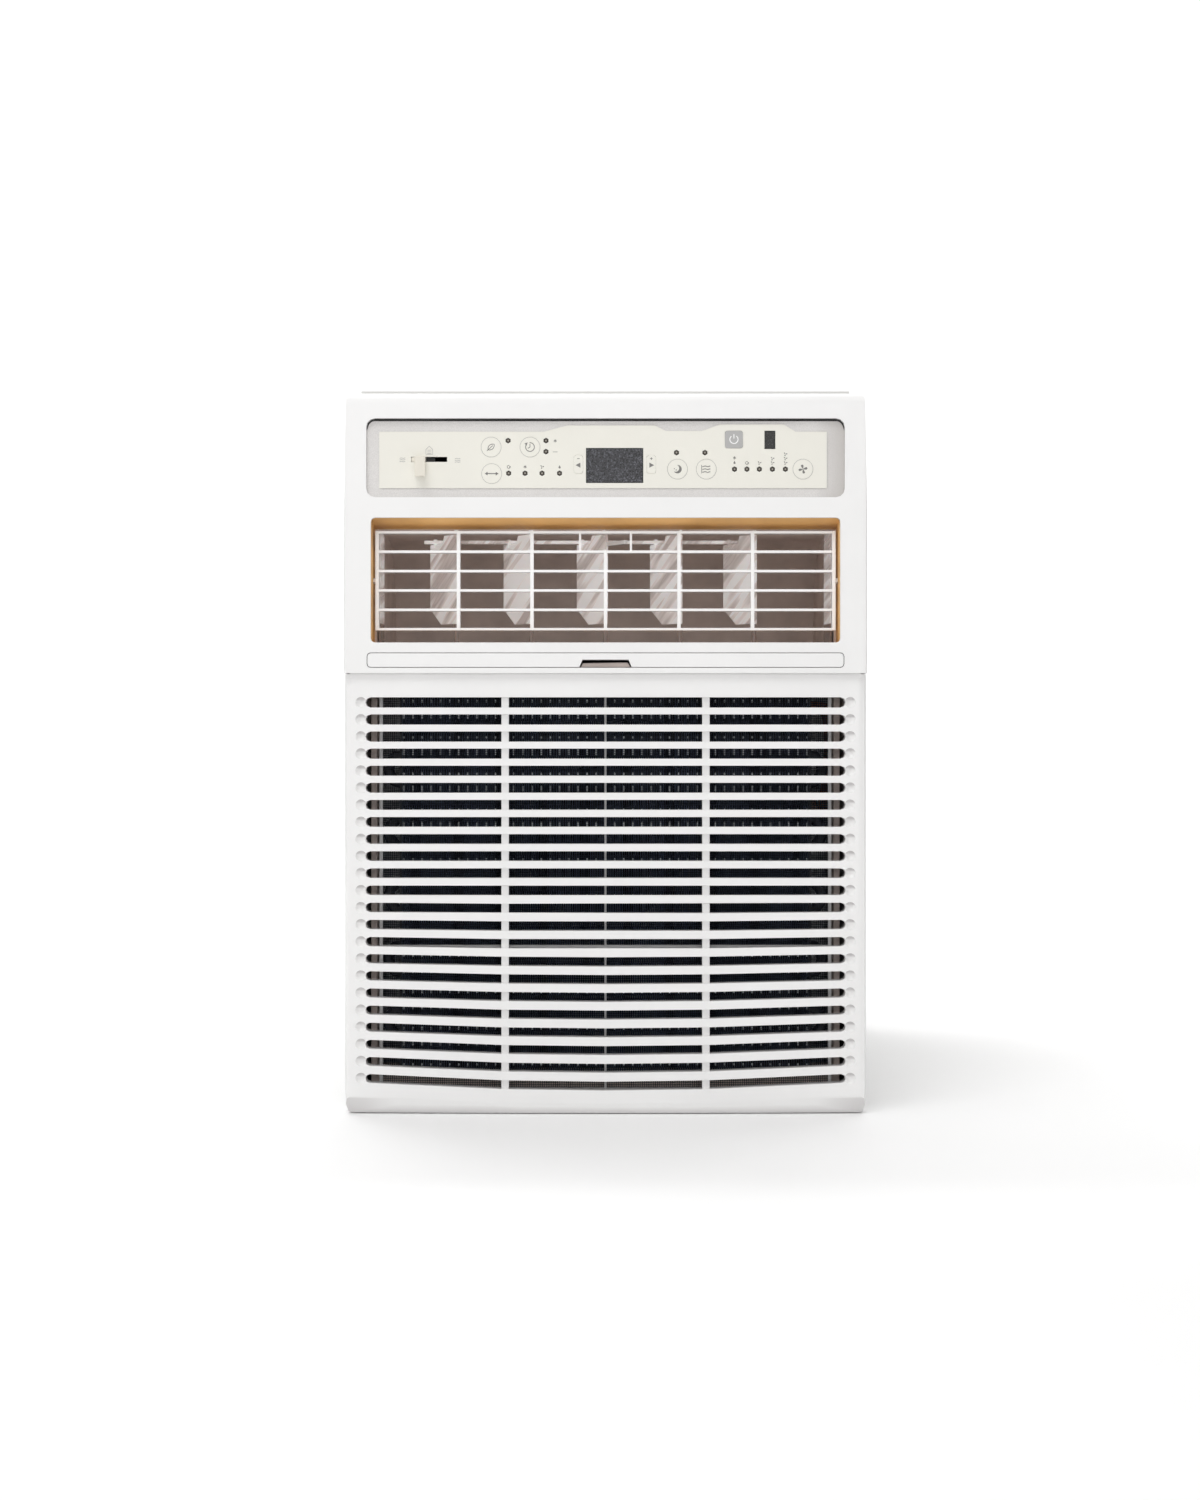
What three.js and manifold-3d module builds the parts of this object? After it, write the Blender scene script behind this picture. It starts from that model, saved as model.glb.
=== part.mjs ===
// Slider/casement window air conditioner, millimetres, +Z up, front facing -Y.
// Origin: centre of the footprint, on the surface that the base pan stands on.
import * as THREE from "three";
import { mergeVertices } from "three/addons/utils/BufferGeometryUtils.js";
import Module from "manifold-3d";

const wasm = await Module();
wasm.setup();

// ---------------------------------------------------------------- driving dimensions
const WIDTH = 370; // front mouldings
const CASE_DEPTH = 540; // face of the upper moulding to the rear grille
const KNOB_PROUD = 5; // the vent lever stands in front of the face by this much
const BACK = (CASE_DEPTH + KNOB_PROUD) / 2;
const FACE = BACK - CASE_DEPTH; // y of the upper moulding's face
const at = (depth) => FACE + depth; // y at a depth behind the face

const PANEL_FOOT = 0.4;
const PANEL_TOP = 510.8;
const SEAM = 312; // height of the joint between the two front mouldings
const SEAM_GAP = 0.6;
const STEP = 4; // the lower moulding is set back by this much
const PANEL_WALL = 3;
const FACE_WALL = 3.5;
const PANEL_DEPTH = 48;
const GAP = 0.35; // play between pieces that touch

const CABINET_HALF = 178;
const SHEET = 1.2;
const CABINET_TOP = 505;
const CABINET_FRONT = at(31.5);
const CABINET_BACK = BACK - 2.1;
const RAIL_TOP = 519;

const SLOT_COUNT = 23;
const SLOT_PITCH = 12.09;
const SLOT_TOP_CENTRE = 291.7;
const SLOT_HALF_HEIGHT = { top: 3.65, foot: 3.15 };
const SLOT_HALF_LENGTH = 170;
const GRILLE_RIB = { x: 71.2, half: 2.6, set_back: 2.6 };
const GRILLE_DEPTH = 10;
const FIRST_CURVED_SLOT = 10;
const LAST_SLOT_SAG = 5.6;
const CHIN = { end: 15, sag: 7, slope: 1.9 }; // the face's arched foot, and how steeply it cuts back under

const CONTROL = { half: 169, low: 436.5, high: 492.2, radius: 6.3 };
const OUTLET = { half: 165.8, low: 333.9, high: 422.1, radius: 3 };
const FILTER_SLOT = { half: 168.6, low: 316.1, high: 326.8, radius: 2.8 };

const KEY_RADIUS = 7;
const KEYS = [
  { name: "key_eco", x: -80.9, z: 472.2 },
  { name: "key_timer", x: -53.4, z: 472.2 },
  { name: "key_mode", x: -80.5, z: 453.4 },
  { name: "key_sleep", x: 50.9, z: 456.6 },
  { name: "key_swing", x: 71.3, z: 456.6 },
  { name: "key_fan", x: 139.6, z: 456.6 },
  { name: "key_power", x: 90.8, z: 477.6, width: 12.7, height: 12.4 },
  { name: "key_temp_down", x: -19.2, z: 460, width: 6.4, height: 13 },
  { name: "key_temp_up", x: 32.4, z: 460, width: 6.4, height: 13 },
];
const LEDS = [
  [-68.9, 476.8], [-42.1, 476.8], [-42.1, 469], // eco, timer on, timer off
  [-68.5, 453.7], [-56.9, 453.7], [-44.9, 453.7], [-32.5, 453.7], // modes
  [50.2, 468.3], [70.3, 468.3], // sleep, swing
  [91.2, 456.6], [100, 456.6], [108.8, 456.6], [118, 456.6], [127.2, 456.6], // fan speeds
];
const LED_RADIUS = 1.7;
const DISPLAY = { x0: -13.8, x1: 26.7, z0: 446.8, z1: 471.6 };
const IR_WINDOW = { x0: 112.4, x1: 120.1, z0: 470.8, z1: 483.8 };
const VENT_SLOT = { x0: -137.4, x1: -112, z0: 461.7, z1: 465.3 };
const VENT_KNOB = { half: 3.6, low: 450.8, thick: 2.2 };
const VENT_X = -130.7;
const VENT_TRAVEL = 15;

const LOUVRE = { half: 163.6, z: 378.4, depth: 16, deep: 8, slats: 6, pitch: 13.78, slat: 1.7, rib: 2.4 };
const LEVER_WINDOW_HALF = 18.1;
const LOUVRE_PIN_RADIUS = 2.2;

const VANE_PITCH = 53.8;
const VANE_REST = THREE.MathUtils.degToRad(38);
const VANE = {
  z: 379.5, depth: 40, low: 349.5, high: 414, shoulder: 408.4, front: -2, back: 33, thick: 1.6, crank: 27.5,
};
const VANE_LEVER = { low: 405.3, high: 408.1, reach: 24 };
const LINK_BAR = { low: 409, high: 411.2, half: 3 };
const DUCT = { half: 168, wall: 4, floor: 333, ceiling: 417, front: 24.4 };

const AXIS_Z = 188; // fan shaft
const SHAFT_RADIUS = 5;
const BLOWER_RADIUS = 76;
const FAN_RADIUS = 139.5;
const CONDENSER = { half: 150, y0: 226, y1: 262, z0: 20, z1: 490 };
const EVAPORATOR = { half: 146, y0: at(31), y1: at(67), z0: 26, z1: 304 };
const COMPRESSOR = { x: 104, y: 75, radius: 54 };

// ---------------------------------------------------------------- solids and outlines
const solid = (geometry) => {
  const bare = geometry.clone();
  bare.deleteAttribute("normal");
  bare.deleteAttribute("uv");
  const merged = mergeVertices(bare, 1e-4);
  return new wasm.Manifold(
    new wasm.Mesh({
      numProp: 3,
      vertProperties: merged.attributes.position.array,
      triVerts: new Uint32Array(merged.index.array),
    }),
  );
};

const geometryOf = (manifold) => {
  const mesh = manifold.getMesh();
  const geometry = new THREE.BufferGeometry();
  geometry.setAttribute("position", new THREE.BufferAttribute(mesh.vertProperties, 3));
  geometry.setIndex(new THREE.BufferAttribute(mesh.triVerts, 1));
  geometry.computeVertexNormals();
  return geometry;
};

const join = (pieces) => geometryOf(pieces.map(solid).reduce((a, b) => a.add(b)));
const cut = (piece, tools) =>
  geometryOf(tools.map(solid).reduce((left, tool) => left.subtract(tool), solid(piece)));
const common = (pieces) => geometryOf(pieces.map(solid).reduce((a, b) => a.intersect(b)));

const box = (x0, x1, y0, y1, z0, z1) =>
  new THREE.BoxGeometry(x1 - x0, y1 - y0, z1 - z0).translate(
    (x0 + x1) / 2,
    (y0 + y1) / 2,
    (z0 + z1) / 2,
  );

const outline = (points) => new THREE.Shape(points.map(([x, y]) => new THREE.Vector2(x, y)));

const roundedRect = (x0, x1, y0, y1, radius, steps = 3) => {
  const corners = [[x1 - radius, y1 - radius, 0], [x0 + radius, y1 - radius, 1],
    [x0 + radius, y0 + radius, 2], [x1 - radius, y0 + radius, 3]];
  const points = [];
  for (const [cx, cy, quarter] of corners)
    for (let i = 0; i <= steps; i++) {
      const angle = ((quarter + i / steps) * Math.PI) / 2;
      points.push([cx + radius * Math.cos(angle), cy + radius * Math.sin(angle)]);
    }
  return points;
};

const circle = (x, y, radius, sides) =>
  Array.from({ length: sides }, (_, i) => {
    const angle = (2 * Math.PI * (i + 0.5)) / sides;
    return [x + radius * Math.cos(angle), y + radius * Math.sin(angle)];
  });

const prism = (points, z0, z1) =>
  new THREE.ExtrudeGeometry(outline(points), { depth: z1 - z0, bevelEnabled: false }).translate(0, 0, z0);

const extrude = (points, depth, holes = []) =>
  holes.length
    ? cut(prism(points, 0, depth), holes.map((hole) => prism(hole, -1, depth + 1)))
    : prism(points, 0, depth);

// Outlines drawn in X and Z, in Y and Z, and in X and Y, pushed through the third axis.
const plateXZ = (points, y0, y1, holes) =>
  extrude(points, y1 - y0, holes).rotateX(Math.PI / 2).translate(0, y1, 0);
const TO_YZ = new THREE.Matrix4().makeBasis(
  new THREE.Vector3(0, 1, 0),
  new THREE.Vector3(0, 0, 1),
  new THREE.Vector3(1, 0, 0),
);
const plateYZ = (points, x0, x1, holes) =>
  extrude(points, x1 - x0, holes).applyMatrix4(TO_YZ).translate(x0, 0, 0);
const plateXY = (points, z0, z1, holes) => extrude(points, z1 - z0, holes).translate(0, 0, z0);

const rodX = (x0, x1, y, z, radius, sides = 12) => plateYZ(circle(y, z, radius, sides), x0, x1);
const rodY = (x, y0, y1, z, radius, sides = 12) => plateXZ(circle(x, z, radius, sides), y0, y1);
const rodZ = (x, y, z0, z1, radius, sides = 12) => plateXY(circle(x, y, radius, sides), z0, z1);

// A body turned about the Z axis. The profile is [radius, z], from the axis to the axis or closed.
const turned = (profile, sides) =>
  new THREE.LatheGeometry(profile.map(([r, z]) => new THREE.Vector2(r, z)), sides).rotateX(
    Math.PI / 2,
  );

const tube = (points, radius, sides, steps) =>
  new THREE.ExtrudeGeometry(outline(circle(0, 0, radius, sides)), {
    steps,
    extrudePath: new THREE.CatmullRomCurve3(points.map((p) => new THREE.Vector3(...p)), false, "centripetal"),
    bevelEnabled: false,
  });

const shell = (x0, x1, y0, y1, z0, z1, wall) =>
  cut(box(x0, x1, y0, y1, z0, z1), [
    box(x0 + wall, x1 - wall, y0 + wall, y1 - wall, z0 + wall, z1 + 1),
  ]);

// ---------------------------------------------------------------- materials
const finish = (color, roughness, metalness = 0) =>
  new THREE.MeshStandardMaterial({ color, roughness, metalness });
const FINISH = {
  white: finish(0xf4f4f3, 0.35),
  silver: finish(0xc9c5c1, 0.4),
  cream: finish(0xeeebdd, 0.5),
  smoked: finish(0x3a3a40, 0.2),
  ochre: finish(0xc8954a, 0.5),
  taupe: finish(0x6d5f56, 0.7),
  vane: finish(0xeae6e2, 0.3),
  mesh: finish(0x15181c, 0.8),
  steel: finish(0xeceded, 0.45, 0.2),
  zinc: finish(0xb4b8ba, 0.4, 0.8),
  coil: finish(0x27323c, 0.5, 0.5),
  fins: finish(0xb9bdc0, 0.4, 0.8),
  copper: finish(0xb4683c, 0.35, 0.9),
  foam: finish(0xf0f0ec, 0.9),
  black: finish(0x1b1b1d, 0.5),
  board: finish(0x1f5a36, 0.5),
};

const group = new THREE.Group();
const add = (name, geometry, material, parent = group) => {
  const mesh = new THREE.Mesh(geometry, material);
  mesh.name = name;
  parent.add(mesh);
  return mesh;
};

// ---------------------------------------------------------------- front mouldings
function frontPanel() {
  const half = WIDTH / 2;
  const low = SEAM + SEAM_GAP / 2;
  const front = [[-half, low], [half, low], [half, 420], [half - 1.6, PANEL_TOP - 4.5],
    [half - 3, PANEL_TOP - 1.4], [half - 6, PANEL_TOP], [6 - half, PANEL_TOP],
    [3 - half, PANEL_TOP - 1.4], [1.6 - half, PANEL_TOP - 4.5], [-half, 420]];
  const side = [[at(PANEL_DEPTH), low], [at(PANEL_DEPTH), PANEL_TOP], [at(8), PANEL_TOP],
    [at(3.5), PANEL_TOP - 1.2], [at(1), PANEL_TOP - 4], [at(0), PANEL_TOP - 9], [at(0), low]];
  const plan = [[-half, at(PANEL_DEPTH)], [-half, at(2.5)], [0.8 - half, at(0.7)], [2.5 - half, at(0)],
    [half - 2.5, at(0)], [half - 0.8, at(0.7)], [half, at(2.5)], [half, at(PANEL_DEPTH)]];
  const block = common([
    plateXZ(front, at(-1), at(PANEL_DEPTH)),
    plateYZ(side, -half - 1, half + 1),
    plateXY(plan, low - 1, PANEL_TOP + 1),
  ]);
  const inner = half - PANEL_WALL;
  const openings = [CONTROL, OUTLET, FILTER_SLOT].map(({ half: h, low: z0, high: z1, radius }) =>
    plateXZ(roundedRect(-h, h, z0, z1, radius), at(-2), at(FACE_WALL + 1)),
  );
  const pocket = box(-inner, inner, at(FACE_WALL), BACK, low - 1, PANEL_TOP - PANEL_WALL);
  return cut(block, [pocket, ...openings]);
}

const RIB_INSIDE = GRILLE_RIB.x - GRILLE_RIB.half;
const RIB_OUTSIDE = GRILLE_RIB.x + GRILLE_RIB.half;

// Height of slot number i at x: the lower slots hang in a shallow arc.
const slotCentre = (i, x) => {
  const sag = LAST_SLOT_SAG * Math.max(0, (i - FIRST_CURVED_SLOT) / (SLOT_COUNT - 1 - FIRST_CURVED_SLOT));
  return SLOT_TOP_CENTRE - i * SLOT_PITCH - sag * (1 - (x / SLOT_HALF_LENGTH) ** 2);
};
const slotHalfHeight = (i) =>
  THREE.MathUtils.lerp(SLOT_HALF_HEIGHT.top, SLOT_HALF_HEIGHT.foot, i / (SLOT_COUNT - 1));

// Part of a slot through the given places along x, with a round end wherever the slot ends.
function slotStretch(i, places) {
  const radius = slotHalfHeight(i);
  const edge = (sign, xs) => xs.map((x) => [x, slotCentre(i, x) + sign * radius]);
  const cap = (x, start) =>
    [1, 2, 3].map((k) => {
      const angle = start + (k * Math.PI) / 4;
      return [x + radius * Math.cos(angle), slotCentre(i, x) + radius * Math.sin(angle)];
    });
  const first = places[0];
  const last = places[places.length - 1];
  return [
    ...edge(-1, places),
    ...(last > RIB_OUTSIDE ? cap(last, -Math.PI / 2) : []),
    ...edge(1, [...places].reverse()),
    ...(first < -RIB_OUTSIDE ? cap(first, Math.PI / 2) : []),
  ];
}

// What is cut away under the arched foot of the face: it slopes back and down.
function chinUndercut() {
  const half = WIDTH / 2 + 5;
  const STEPS = 12;
  const arch = Array.from({ length: STEPS + 1 }, (_, k) => {
    const x = -half + (2 * half * k) / STEPS;
    return [x, CHIN.end - CHIN.sag * (1 - (x / half) ** 2)];
  });
  const shear = new THREE.Matrix4().makeShear(0, 0, 0, -CHIN.slope, 0, 0);
  return plateXZ([...arch, [half, -90], [-half, -90]], -4, 30).applyMatrix4(shear).translate(0, at(STEP), 0);
}

function intakeGrille() {
  const half = WIDTH / 2;
  const top = SEAM - SEAM_GAP / 2;
  const front = [[-half, 20], [0.9 - half, 7], [2.2 - half, 1.8], [4.4 - half, PANEL_FOOT],
    [half - 4.4, PANEL_FOOT], [half - 2.2, 1.8], [half - 0.9, 7], [half, 20], [half, top], [-half, top]];
  const side = [[at(STEP), top], [at(STEP), PANEL_FOOT], [at(PANEL_DEPTH), PANEL_FOOT],
    [at(PANEL_DEPTH), top]];
  const plan = [[-half, at(PANEL_DEPTH)], [-half, at(STEP + 6)], [1.8 - half, at(STEP + 1.8)],
    [6 - half, at(STEP)], [half - 6, at(STEP)], [half - 1.8, at(STEP + 1.8)], [half, at(STEP + 6)],
    [half, at(PANEL_DEPTH)]];
  const block = common([
    plateXZ(front, at(-1), at(PANEL_DEPTH)),
    plateYZ(side, -half - 1, half + 1),
    plateXY(plan, -1, top + 1),
  ]);
  const inner = half - PANEL_WALL;
  const bootTop = SLOT_TOP_CENTRE + SLOT_PITCH / 2;
  const hollow = [
    box(-inner, inner, at(STEP + GRILLE_DEPTH), BACK, PANEL_FOOT + PANEL_WALL, top + 1),
    box(-inner, inner, at(STEP + FACE_WALL), BACK, bootTop, top + 1),
    box(-inner, inner, at(29), BACK, -1, 50),
    chinUndercut(),
  ];
  const ribFront = at(STEP + GRILLE_RIB.set_back);
  for (let i = 0; i < SLOT_COUNT; i++) {
    const end = SLOT_HALF_LENGTH - slotHalfHeight(i);
    const outer = [RIB_OUTSIDE, end];
    const middle = [-RIB_INSIDE, 0, RIB_INSIDE];
    const whole = [-end, -RIB_OUTSIDE, ...middle, ...outer];
    hollow.push(plateXZ(slotStretch(i, whole), at(STEP - 1), ribFront));
    for (const places of [[-end, -RIB_OUTSIDE], middle, outer])
      hollow.push(plateXZ(slotStretch(i, places), ribFront - 0.5, at(STEP + GRILLE_DEPTH + 1)));
  }
  const tongue = box(-inner + 1, inner - 1, at(STEP), at(STEP + FACE_WALL), top - 3, FILTER_SLOT.low - 0.7);
  return join([cut(block, hollow), tongue]);
}

add("front_panel", frontPanel(), FINISH.white);
add("intake_grille", intakeGrille(), FINISH.white);

// ---------------------------------------------------------------- control panel
const TRAY = { front: 3.85, back: 5.8 };
const OVERLAY = { front: 2.8, back: 3.5 };

function controlBezel() {
  const window = [[-157, 445.6], [153.4, 445.6], [153.4, 480.6], [124, 480.6], [122, 485.6],
    [82, 485.6], [80, 480.6], [-157, 480.6]];
  const rim = roundedRect(-172, 172, 433.4, 495.4, CONTROL.radius);
  return plateXZ(rim, at(TRAY.front), at(TRAY.back), [window]);
}

const rectangle = ({ x0, x1, z0, z1 }, grow = 0) => [[x0 - grow, z0 - grow], [x1 + grow, z0 - grow],
  [x1 + grow, z1 + grow], [x0 - grow, z1 + grow]];

const keyOutline = ({ x, z, width, height }, grow) =>
  width
    ? roundedRect(x - width / 2 - grow, x + width / 2 + grow, z - height / 2 - grow,
      z + height / 2 + grow, 1.8, 2)
    : circle(x, z, KEY_RADIUS + grow, 16);

// The film has a low top edge with two raised stretches, over the display and over the power key.
function controlOverlay() {
  const edge = [[-160, 443.2], [156.5, 443.2], [156.5, 483.1], [134.4, 483.1], [126, 488.2],
    [80.8, 488.2], [68.1, 483.6], [42.7, 483.6], [34.9, 487.5], [-27.2, 487.5], [-43.4, 483.1],
    [-160, 483.1]];
  const holes = [
    ...KEYS.map((key) => keyOutline(key, GAP)),
    ...LEDS.map(([x, z]) => circle(x, z, LED_RADIUS + GAP, 6)),
    rectangle(DISPLAY),
    rectangle(IR_WINDOW),
    rectangle(VENT_SLOT),
  ];
  return plateXZ(edge, at(OVERLAY.front), at(OVERLAY.back), holes);
}

// A key cap with the stem that presses its switch, drawn about its own centre.
function keyCap(key) {
  const cap = plateXZ(keyOutline({ ...key, x: 0, z: 0 }, 0), 0, 2.8);
  return join([cap, rodY(0, 2, 4.4, 0, 2, 8)]);
}

function controlBoard() {
  const BOARD_FRONT = 9;
  const pieces = [box(-96, 150, at(BOARD_FRONT), at(BOARD_FRONT + 1.6), 441, 490)];
  for (const { x, z } of KEYS)
    pieces.push(box(x - 3, x + 3, at(7.6), at(BOARD_FRONT + 0.5), z - 3, z + 3));
  for (const [x, z] of LEDS)
    pieces.push(rodY(x, at(OVERLAY.front + 0.2), at(BOARD_FRONT + 0.5), z, LED_RADIUS, 6));
  for (const [window, inset] of [[DISPLAY, 2], [IR_WINDOW, 1]])
    pieces.push(plateXZ(rectangle(window, -inset), at(5.6), at(BOARD_FRONT + 0.5)));
  return join(pieces);
}

add("control_bezel", controlBezel(), FINISH.silver);
add("control_overlay", controlOverlay(), FINISH.cream);
for (const key of KEYS)
  add(key.name, keyCap(key), key.name === "key_power" ? FINISH.silver : FINISH.cream).position.set(
    key.x,
    at(OVERLAY.front - 0.2),
    key.z,
  );
add("display_window", plateXZ(rectangle(DISPLAY, -GAP), at(2.9), at(5.2)), FINISH.smoked);
add("infrared_window", plateXZ(rectangle(IR_WINDOW, -GAP), at(2.9), at(5.2)), FINISH.smoked);
add("control_board", controlBoard(), FINISH.board);

// ---------------------------------------------------------------- fresh-air vent control
const VENT_Z = (VENT_SLOT.z0 + VENT_SLOT.z1) / 2;
const BULKHEAD_FRONT = 191.5;
const SHUTTER = { front: BULKHEAD_FRONT - 1.9, back: BULKHEAD_FRONT - 0.4 };

function ventLever() {
  const { half, low, thick } = VENT_KNOB;
  const stem = box(VENT_X - half, VENT_X + half, at(-KNOB_PROUD), at(8), VENT_Z - 1.4, VENT_Z + 1.4);
  const tab = box(VENT_X - half, VENT_X + half, at(-KNOB_PROUD), at(thick - KNOB_PROUD), low, VENT_Z);
  const carriage = box(VENT_X - 10, VENT_X + 10, at(6.3), at(14), VENT_Z - 7, VENT_Z + 7);
  return join([stem, tab, carriage]);
}

// Two windows in the shutter stand beside the bulkhead's two until the lever is moved across.
const ventWindows = (shift) =>
  [-150, -120].map((x) => rectangle({ x0: x + shift, x1: x + shift + 14, z0: 446, z1: 484 }));

add("vent_lever", ventLever(), FINISH.cream);
add("vent_rod", rodY(VENT_X, at(14 + GAP), at(SHUTTER.front - GAP), VENT_Z, 2, 8), FINISH.zinc);
add("vent_shutter",
  plateXZ(rectangle({ x0: -168, x1: -98, z0: 440, z1: 490 }), at(SHUTTER.front), at(SHUTTER.back),
    ventWindows(-VENT_TRAVEL)),
  FINISH.white);

// ---------------------------------------------------------------- air outlet
function outletLiner() {
  const { low, high } = OUTLET;
  const frame = box(-172, 172, at(FACE_WALL + GAP), at(DUCT.front - GAP), low - 5, high + 6);
  const throat = [[at(3), low + 0.1], [at(25), low + 0.1], [at(25), high - 6.5], [at(3), high]];
  const bores = [-1, 1].map((s) =>
    rodX(s > 0 ? 160 : -170, s > 0 ? 170 : -160, at(LOUVRE.depth), LOUVRE.z, LOUVRE_PIN_RADIUS + GAP, 12),
  );
  return cut(frame, [plateYZ(throat, -165.2, 165.2), ...bores]);
}

// A grid of thin slats and ribs. The middle rib stops short to leave a window for the vane lever.
function louvreGrid() {
  const { half, z, depth, deep, slats, pitch, slat, rib } = LOUVRE;
  const RIBS_AT = 52.3;
  const rows = slats - 1;
  const bottom = z - (rows * pitch) / 2;
  const columns = [-3, -2, -1, 0, 1, 2].map((c) => [c * RIBS_AT + rib / 2, (c + 1) * RIBS_AT - rib / 2]);
  columns[0][0] = rib - half;
  columns[columns.length - 1][1] = half - rib;
  const cells = [];
  for (let r = 0; r < rows; r++) {
    const z0 = bottom + r * pitch + slat / 2;
    const z1 = z0 + pitch - slat;
    const cell = (x0, x1) => cells.push(rectangle({ x0, x1, z0, z1 }));
    columns.forEach(([x0, x1], c) => {
      const beside = r === rows - 1 && (c === 2 || c === 3);
      if (!beside) cell(x0, x1);
    });
    if (r === rows - 1) {
      const post = 0.75;
      cell(columns[2][0], -LEVER_WINDOW_HALF - post);
      cell(post - LEVER_WINDOW_HALF, LEVER_WINDOW_HALF - post);
      cell(LEVER_WINDOW_HALF + post, columns[3][1]);
    }
  }
  const rim = rectangle({ x0: -half, x1: half, z0: bottom - slat / 2, z1: bottom + rows * pitch + slat / 2 });
  const grid = plateXZ(rim, at(depth - deep / 2), at(depth + deep / 2), cells);
  const pins = [-1, 1].map((s) =>
    rodX(s > 0 ? half - 1 : -168.6, s > 0 ? 168.6 : 1 - half, at(depth), z, LOUVRE_PIN_RADIUS, 10),
  );
  return join([grid, ...pins]);
}

// A vane about its own pivot: blade, top and bottom pivots, and the crank pin for the link bar. The
// blade is tall in front and steps down behind, where the bar crosses it.
function vane() {
  const { z, low, high, shoulder, front, back, thick, crank } = VANE;
  const STEP_AT = 17;
  const outlineOfBlade = [[front, low - z], [back - 14, low - z], [back, low + 12 - z],
    [back, shoulder - z], [STEP_AT, shoulder - z], [STEP_AT - 2, high - z], [front, high - z]];
  return join([
    plateYZ(outlineOfBlade, -thick / 2, thick / 2),
    rodZ(0, 0, high - 2 - z, DUCT.ceiling + 2.5 - z, 1.8, 8),
    rodZ(0, 0, DUCT.floor - 2 - z, low + 2 - z, 1.8, 8),
    rodZ(0, crank, shoulder - 2 - z, LINK_BAR.high + 1 - z, 1.4, 6),
  ]);
}

const vaneX = (i) => (i - 2) * VANE_PITCH;
const crankAt = (i) => [
  vaneX(i) - VANE.crank * Math.sin(VANE_REST),
  at(VANE.depth) + VANE.crank * Math.cos(VANE_REST),
];

function linkBar() {
  const [first, y] = crankAt(0);
  const [last] = crankAt(4);
  const END = 8;
  const holes = [0, 1, 2, 3, 4].map((i) => circle(...crankAt(i), 1.4 + GAP, 6));
  const bar = rectangle({ x0: first - END, x1: last + END, z0: y - LINK_BAR.half, z1: y + LINK_BAR.half });
  return plateXY(bar, LINK_BAR.low, LINK_BAR.high, holes);
}

// The duct rises from the blower and turns forward. Its side view is the outer line less the inner.
function airDuct() {
  const { half, wall, floor, ceiling, front } = DUCT;
  const outer = [[at(front), floor - 3.2], [at(78), floor - 3.2], [at(97), 318], [at(97), 300.2],
    [at(188.5), 300.2], [at(188.5), 352], [at(180), 385], [at(160), 408], [at(130), ceiling + 3.2],
    [at(front), ceiling + 3.2]];
  const inner = [[at(front - 1), floor], [at(79), floor], [at(100.2), 320], [at(100.2), 299],
    [at(185.3), 299], [at(185.3), 351], [at(177), 383], [at(158), 405], [at(129), ceiling],
    [at(front - 1), ceiling]];
  const holes = [0, 1, 2, 3, 4].map((i) =>
    rodZ(vaneX(i), at(VANE.depth), floor - 10, ceiling + 10, 1.8 + GAP, 8),
  );
  return cut(plateYZ(outer, -half, half), [plateYZ(inner, wall - half, half - wall), ...holes]);
}

add("outlet_liner", outletLiner(), FINISH.ochre);
add("louvre_grid", louvreGrid(), FINISH.white);
for (let i = 0; i < 5; i++) {
  const pivot = new THREE.Group();
  pivot.position.set(vaneX(i), at(VANE.depth), VANE.z);
  pivot.rotation.z = VANE_REST;
  group.add(pivot);
  add(`vane_${i + 1}`, vane(), FINISH.vane, pivot);
  if (i === 2) {
    const { low, high, reach } = VANE_LEVER;
    const bar = box(-1.5, 1.5, -reach, VANE.front - GAP, low - VANE.z, high - VANE.z);
    add("vane_lever", bar, FINISH.white, pivot);
  }
}
add("vane_link_bar", linkBar(), FINISH.vane);
add("air_duct", airDuct(), FINISH.taupe);
add("swing_motor",
  join([
    rodZ(vaneX(4), at(VANE.depth), DUCT.ceiling + 3.6, DUCT.ceiling + 19, 14, 20),
    box(vaneX(4) - 20, vaneX(4) + 20, at(VANE.depth - 5), at(VANE.depth + 5),
      DUCT.ceiling + 3.6, DUCT.ceiling + 5),
  ]),
  FINISH.zinc);

// ---------------------------------------------------------------- air filter
const FILTER = { half: 161.6, low: 14, high: 300, front: 21, back: 24, rim: 2.4 };

function filterFrame() {
  const { half, low, high, front, back, rim } = FILTER;
  const columns = [[rim - half, -72.2], [-70, -0.8], [0.8, 70], [72.2, half - rim]];
  const rows = [[low + rim, 116], [118.6, 224.2], [226.8, high - rim]];
  const cells = [];
  for (const [z0, z1] of rows)
    for (const [x0, x1] of columns) cells.push(rectangle({ x0, x1, z0, z1 }));
  return plateXZ(rectangle({ x0: -half, x1: half, z0: low, z1: high }), at(front), at(back), cells);
}

// The strip in the face with its finger notch, and the tongue that reaches back to the filter.
function filterHandle() {
  const { half, low, high, radius } = FILTER_SLOT;
  const NOTCH = [[-19, low - 1], [19, low - 1], [16.3, low + 5.5], [-16.3, low + 5.5]];
  const strip = cut(
    plateXZ(roundedRect(GAP - half, half - GAP, low + GAP, high - GAP, radius - GAP), at(0), at(3.2)),
    [plateXZ(NOTCH, at(-1), at(4))],
  );
  return join([strip, box(-160, 160, at(3), at(19), high - 4.3, high - 2.3)]);
}

add("filter_frame", filterFrame(), FINISH.white);
add("filter_mesh",
  box(1.2 - FILTER.half, FILTER.half - 1.2, at(FILTER.back + 0.3), at(FILTER.back + 0.9),
    FILTER.low + 1, FILTER.high - 1),
  FINISH.mesh);
add("filter_handle", filterHandle(), FINISH.white);

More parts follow.
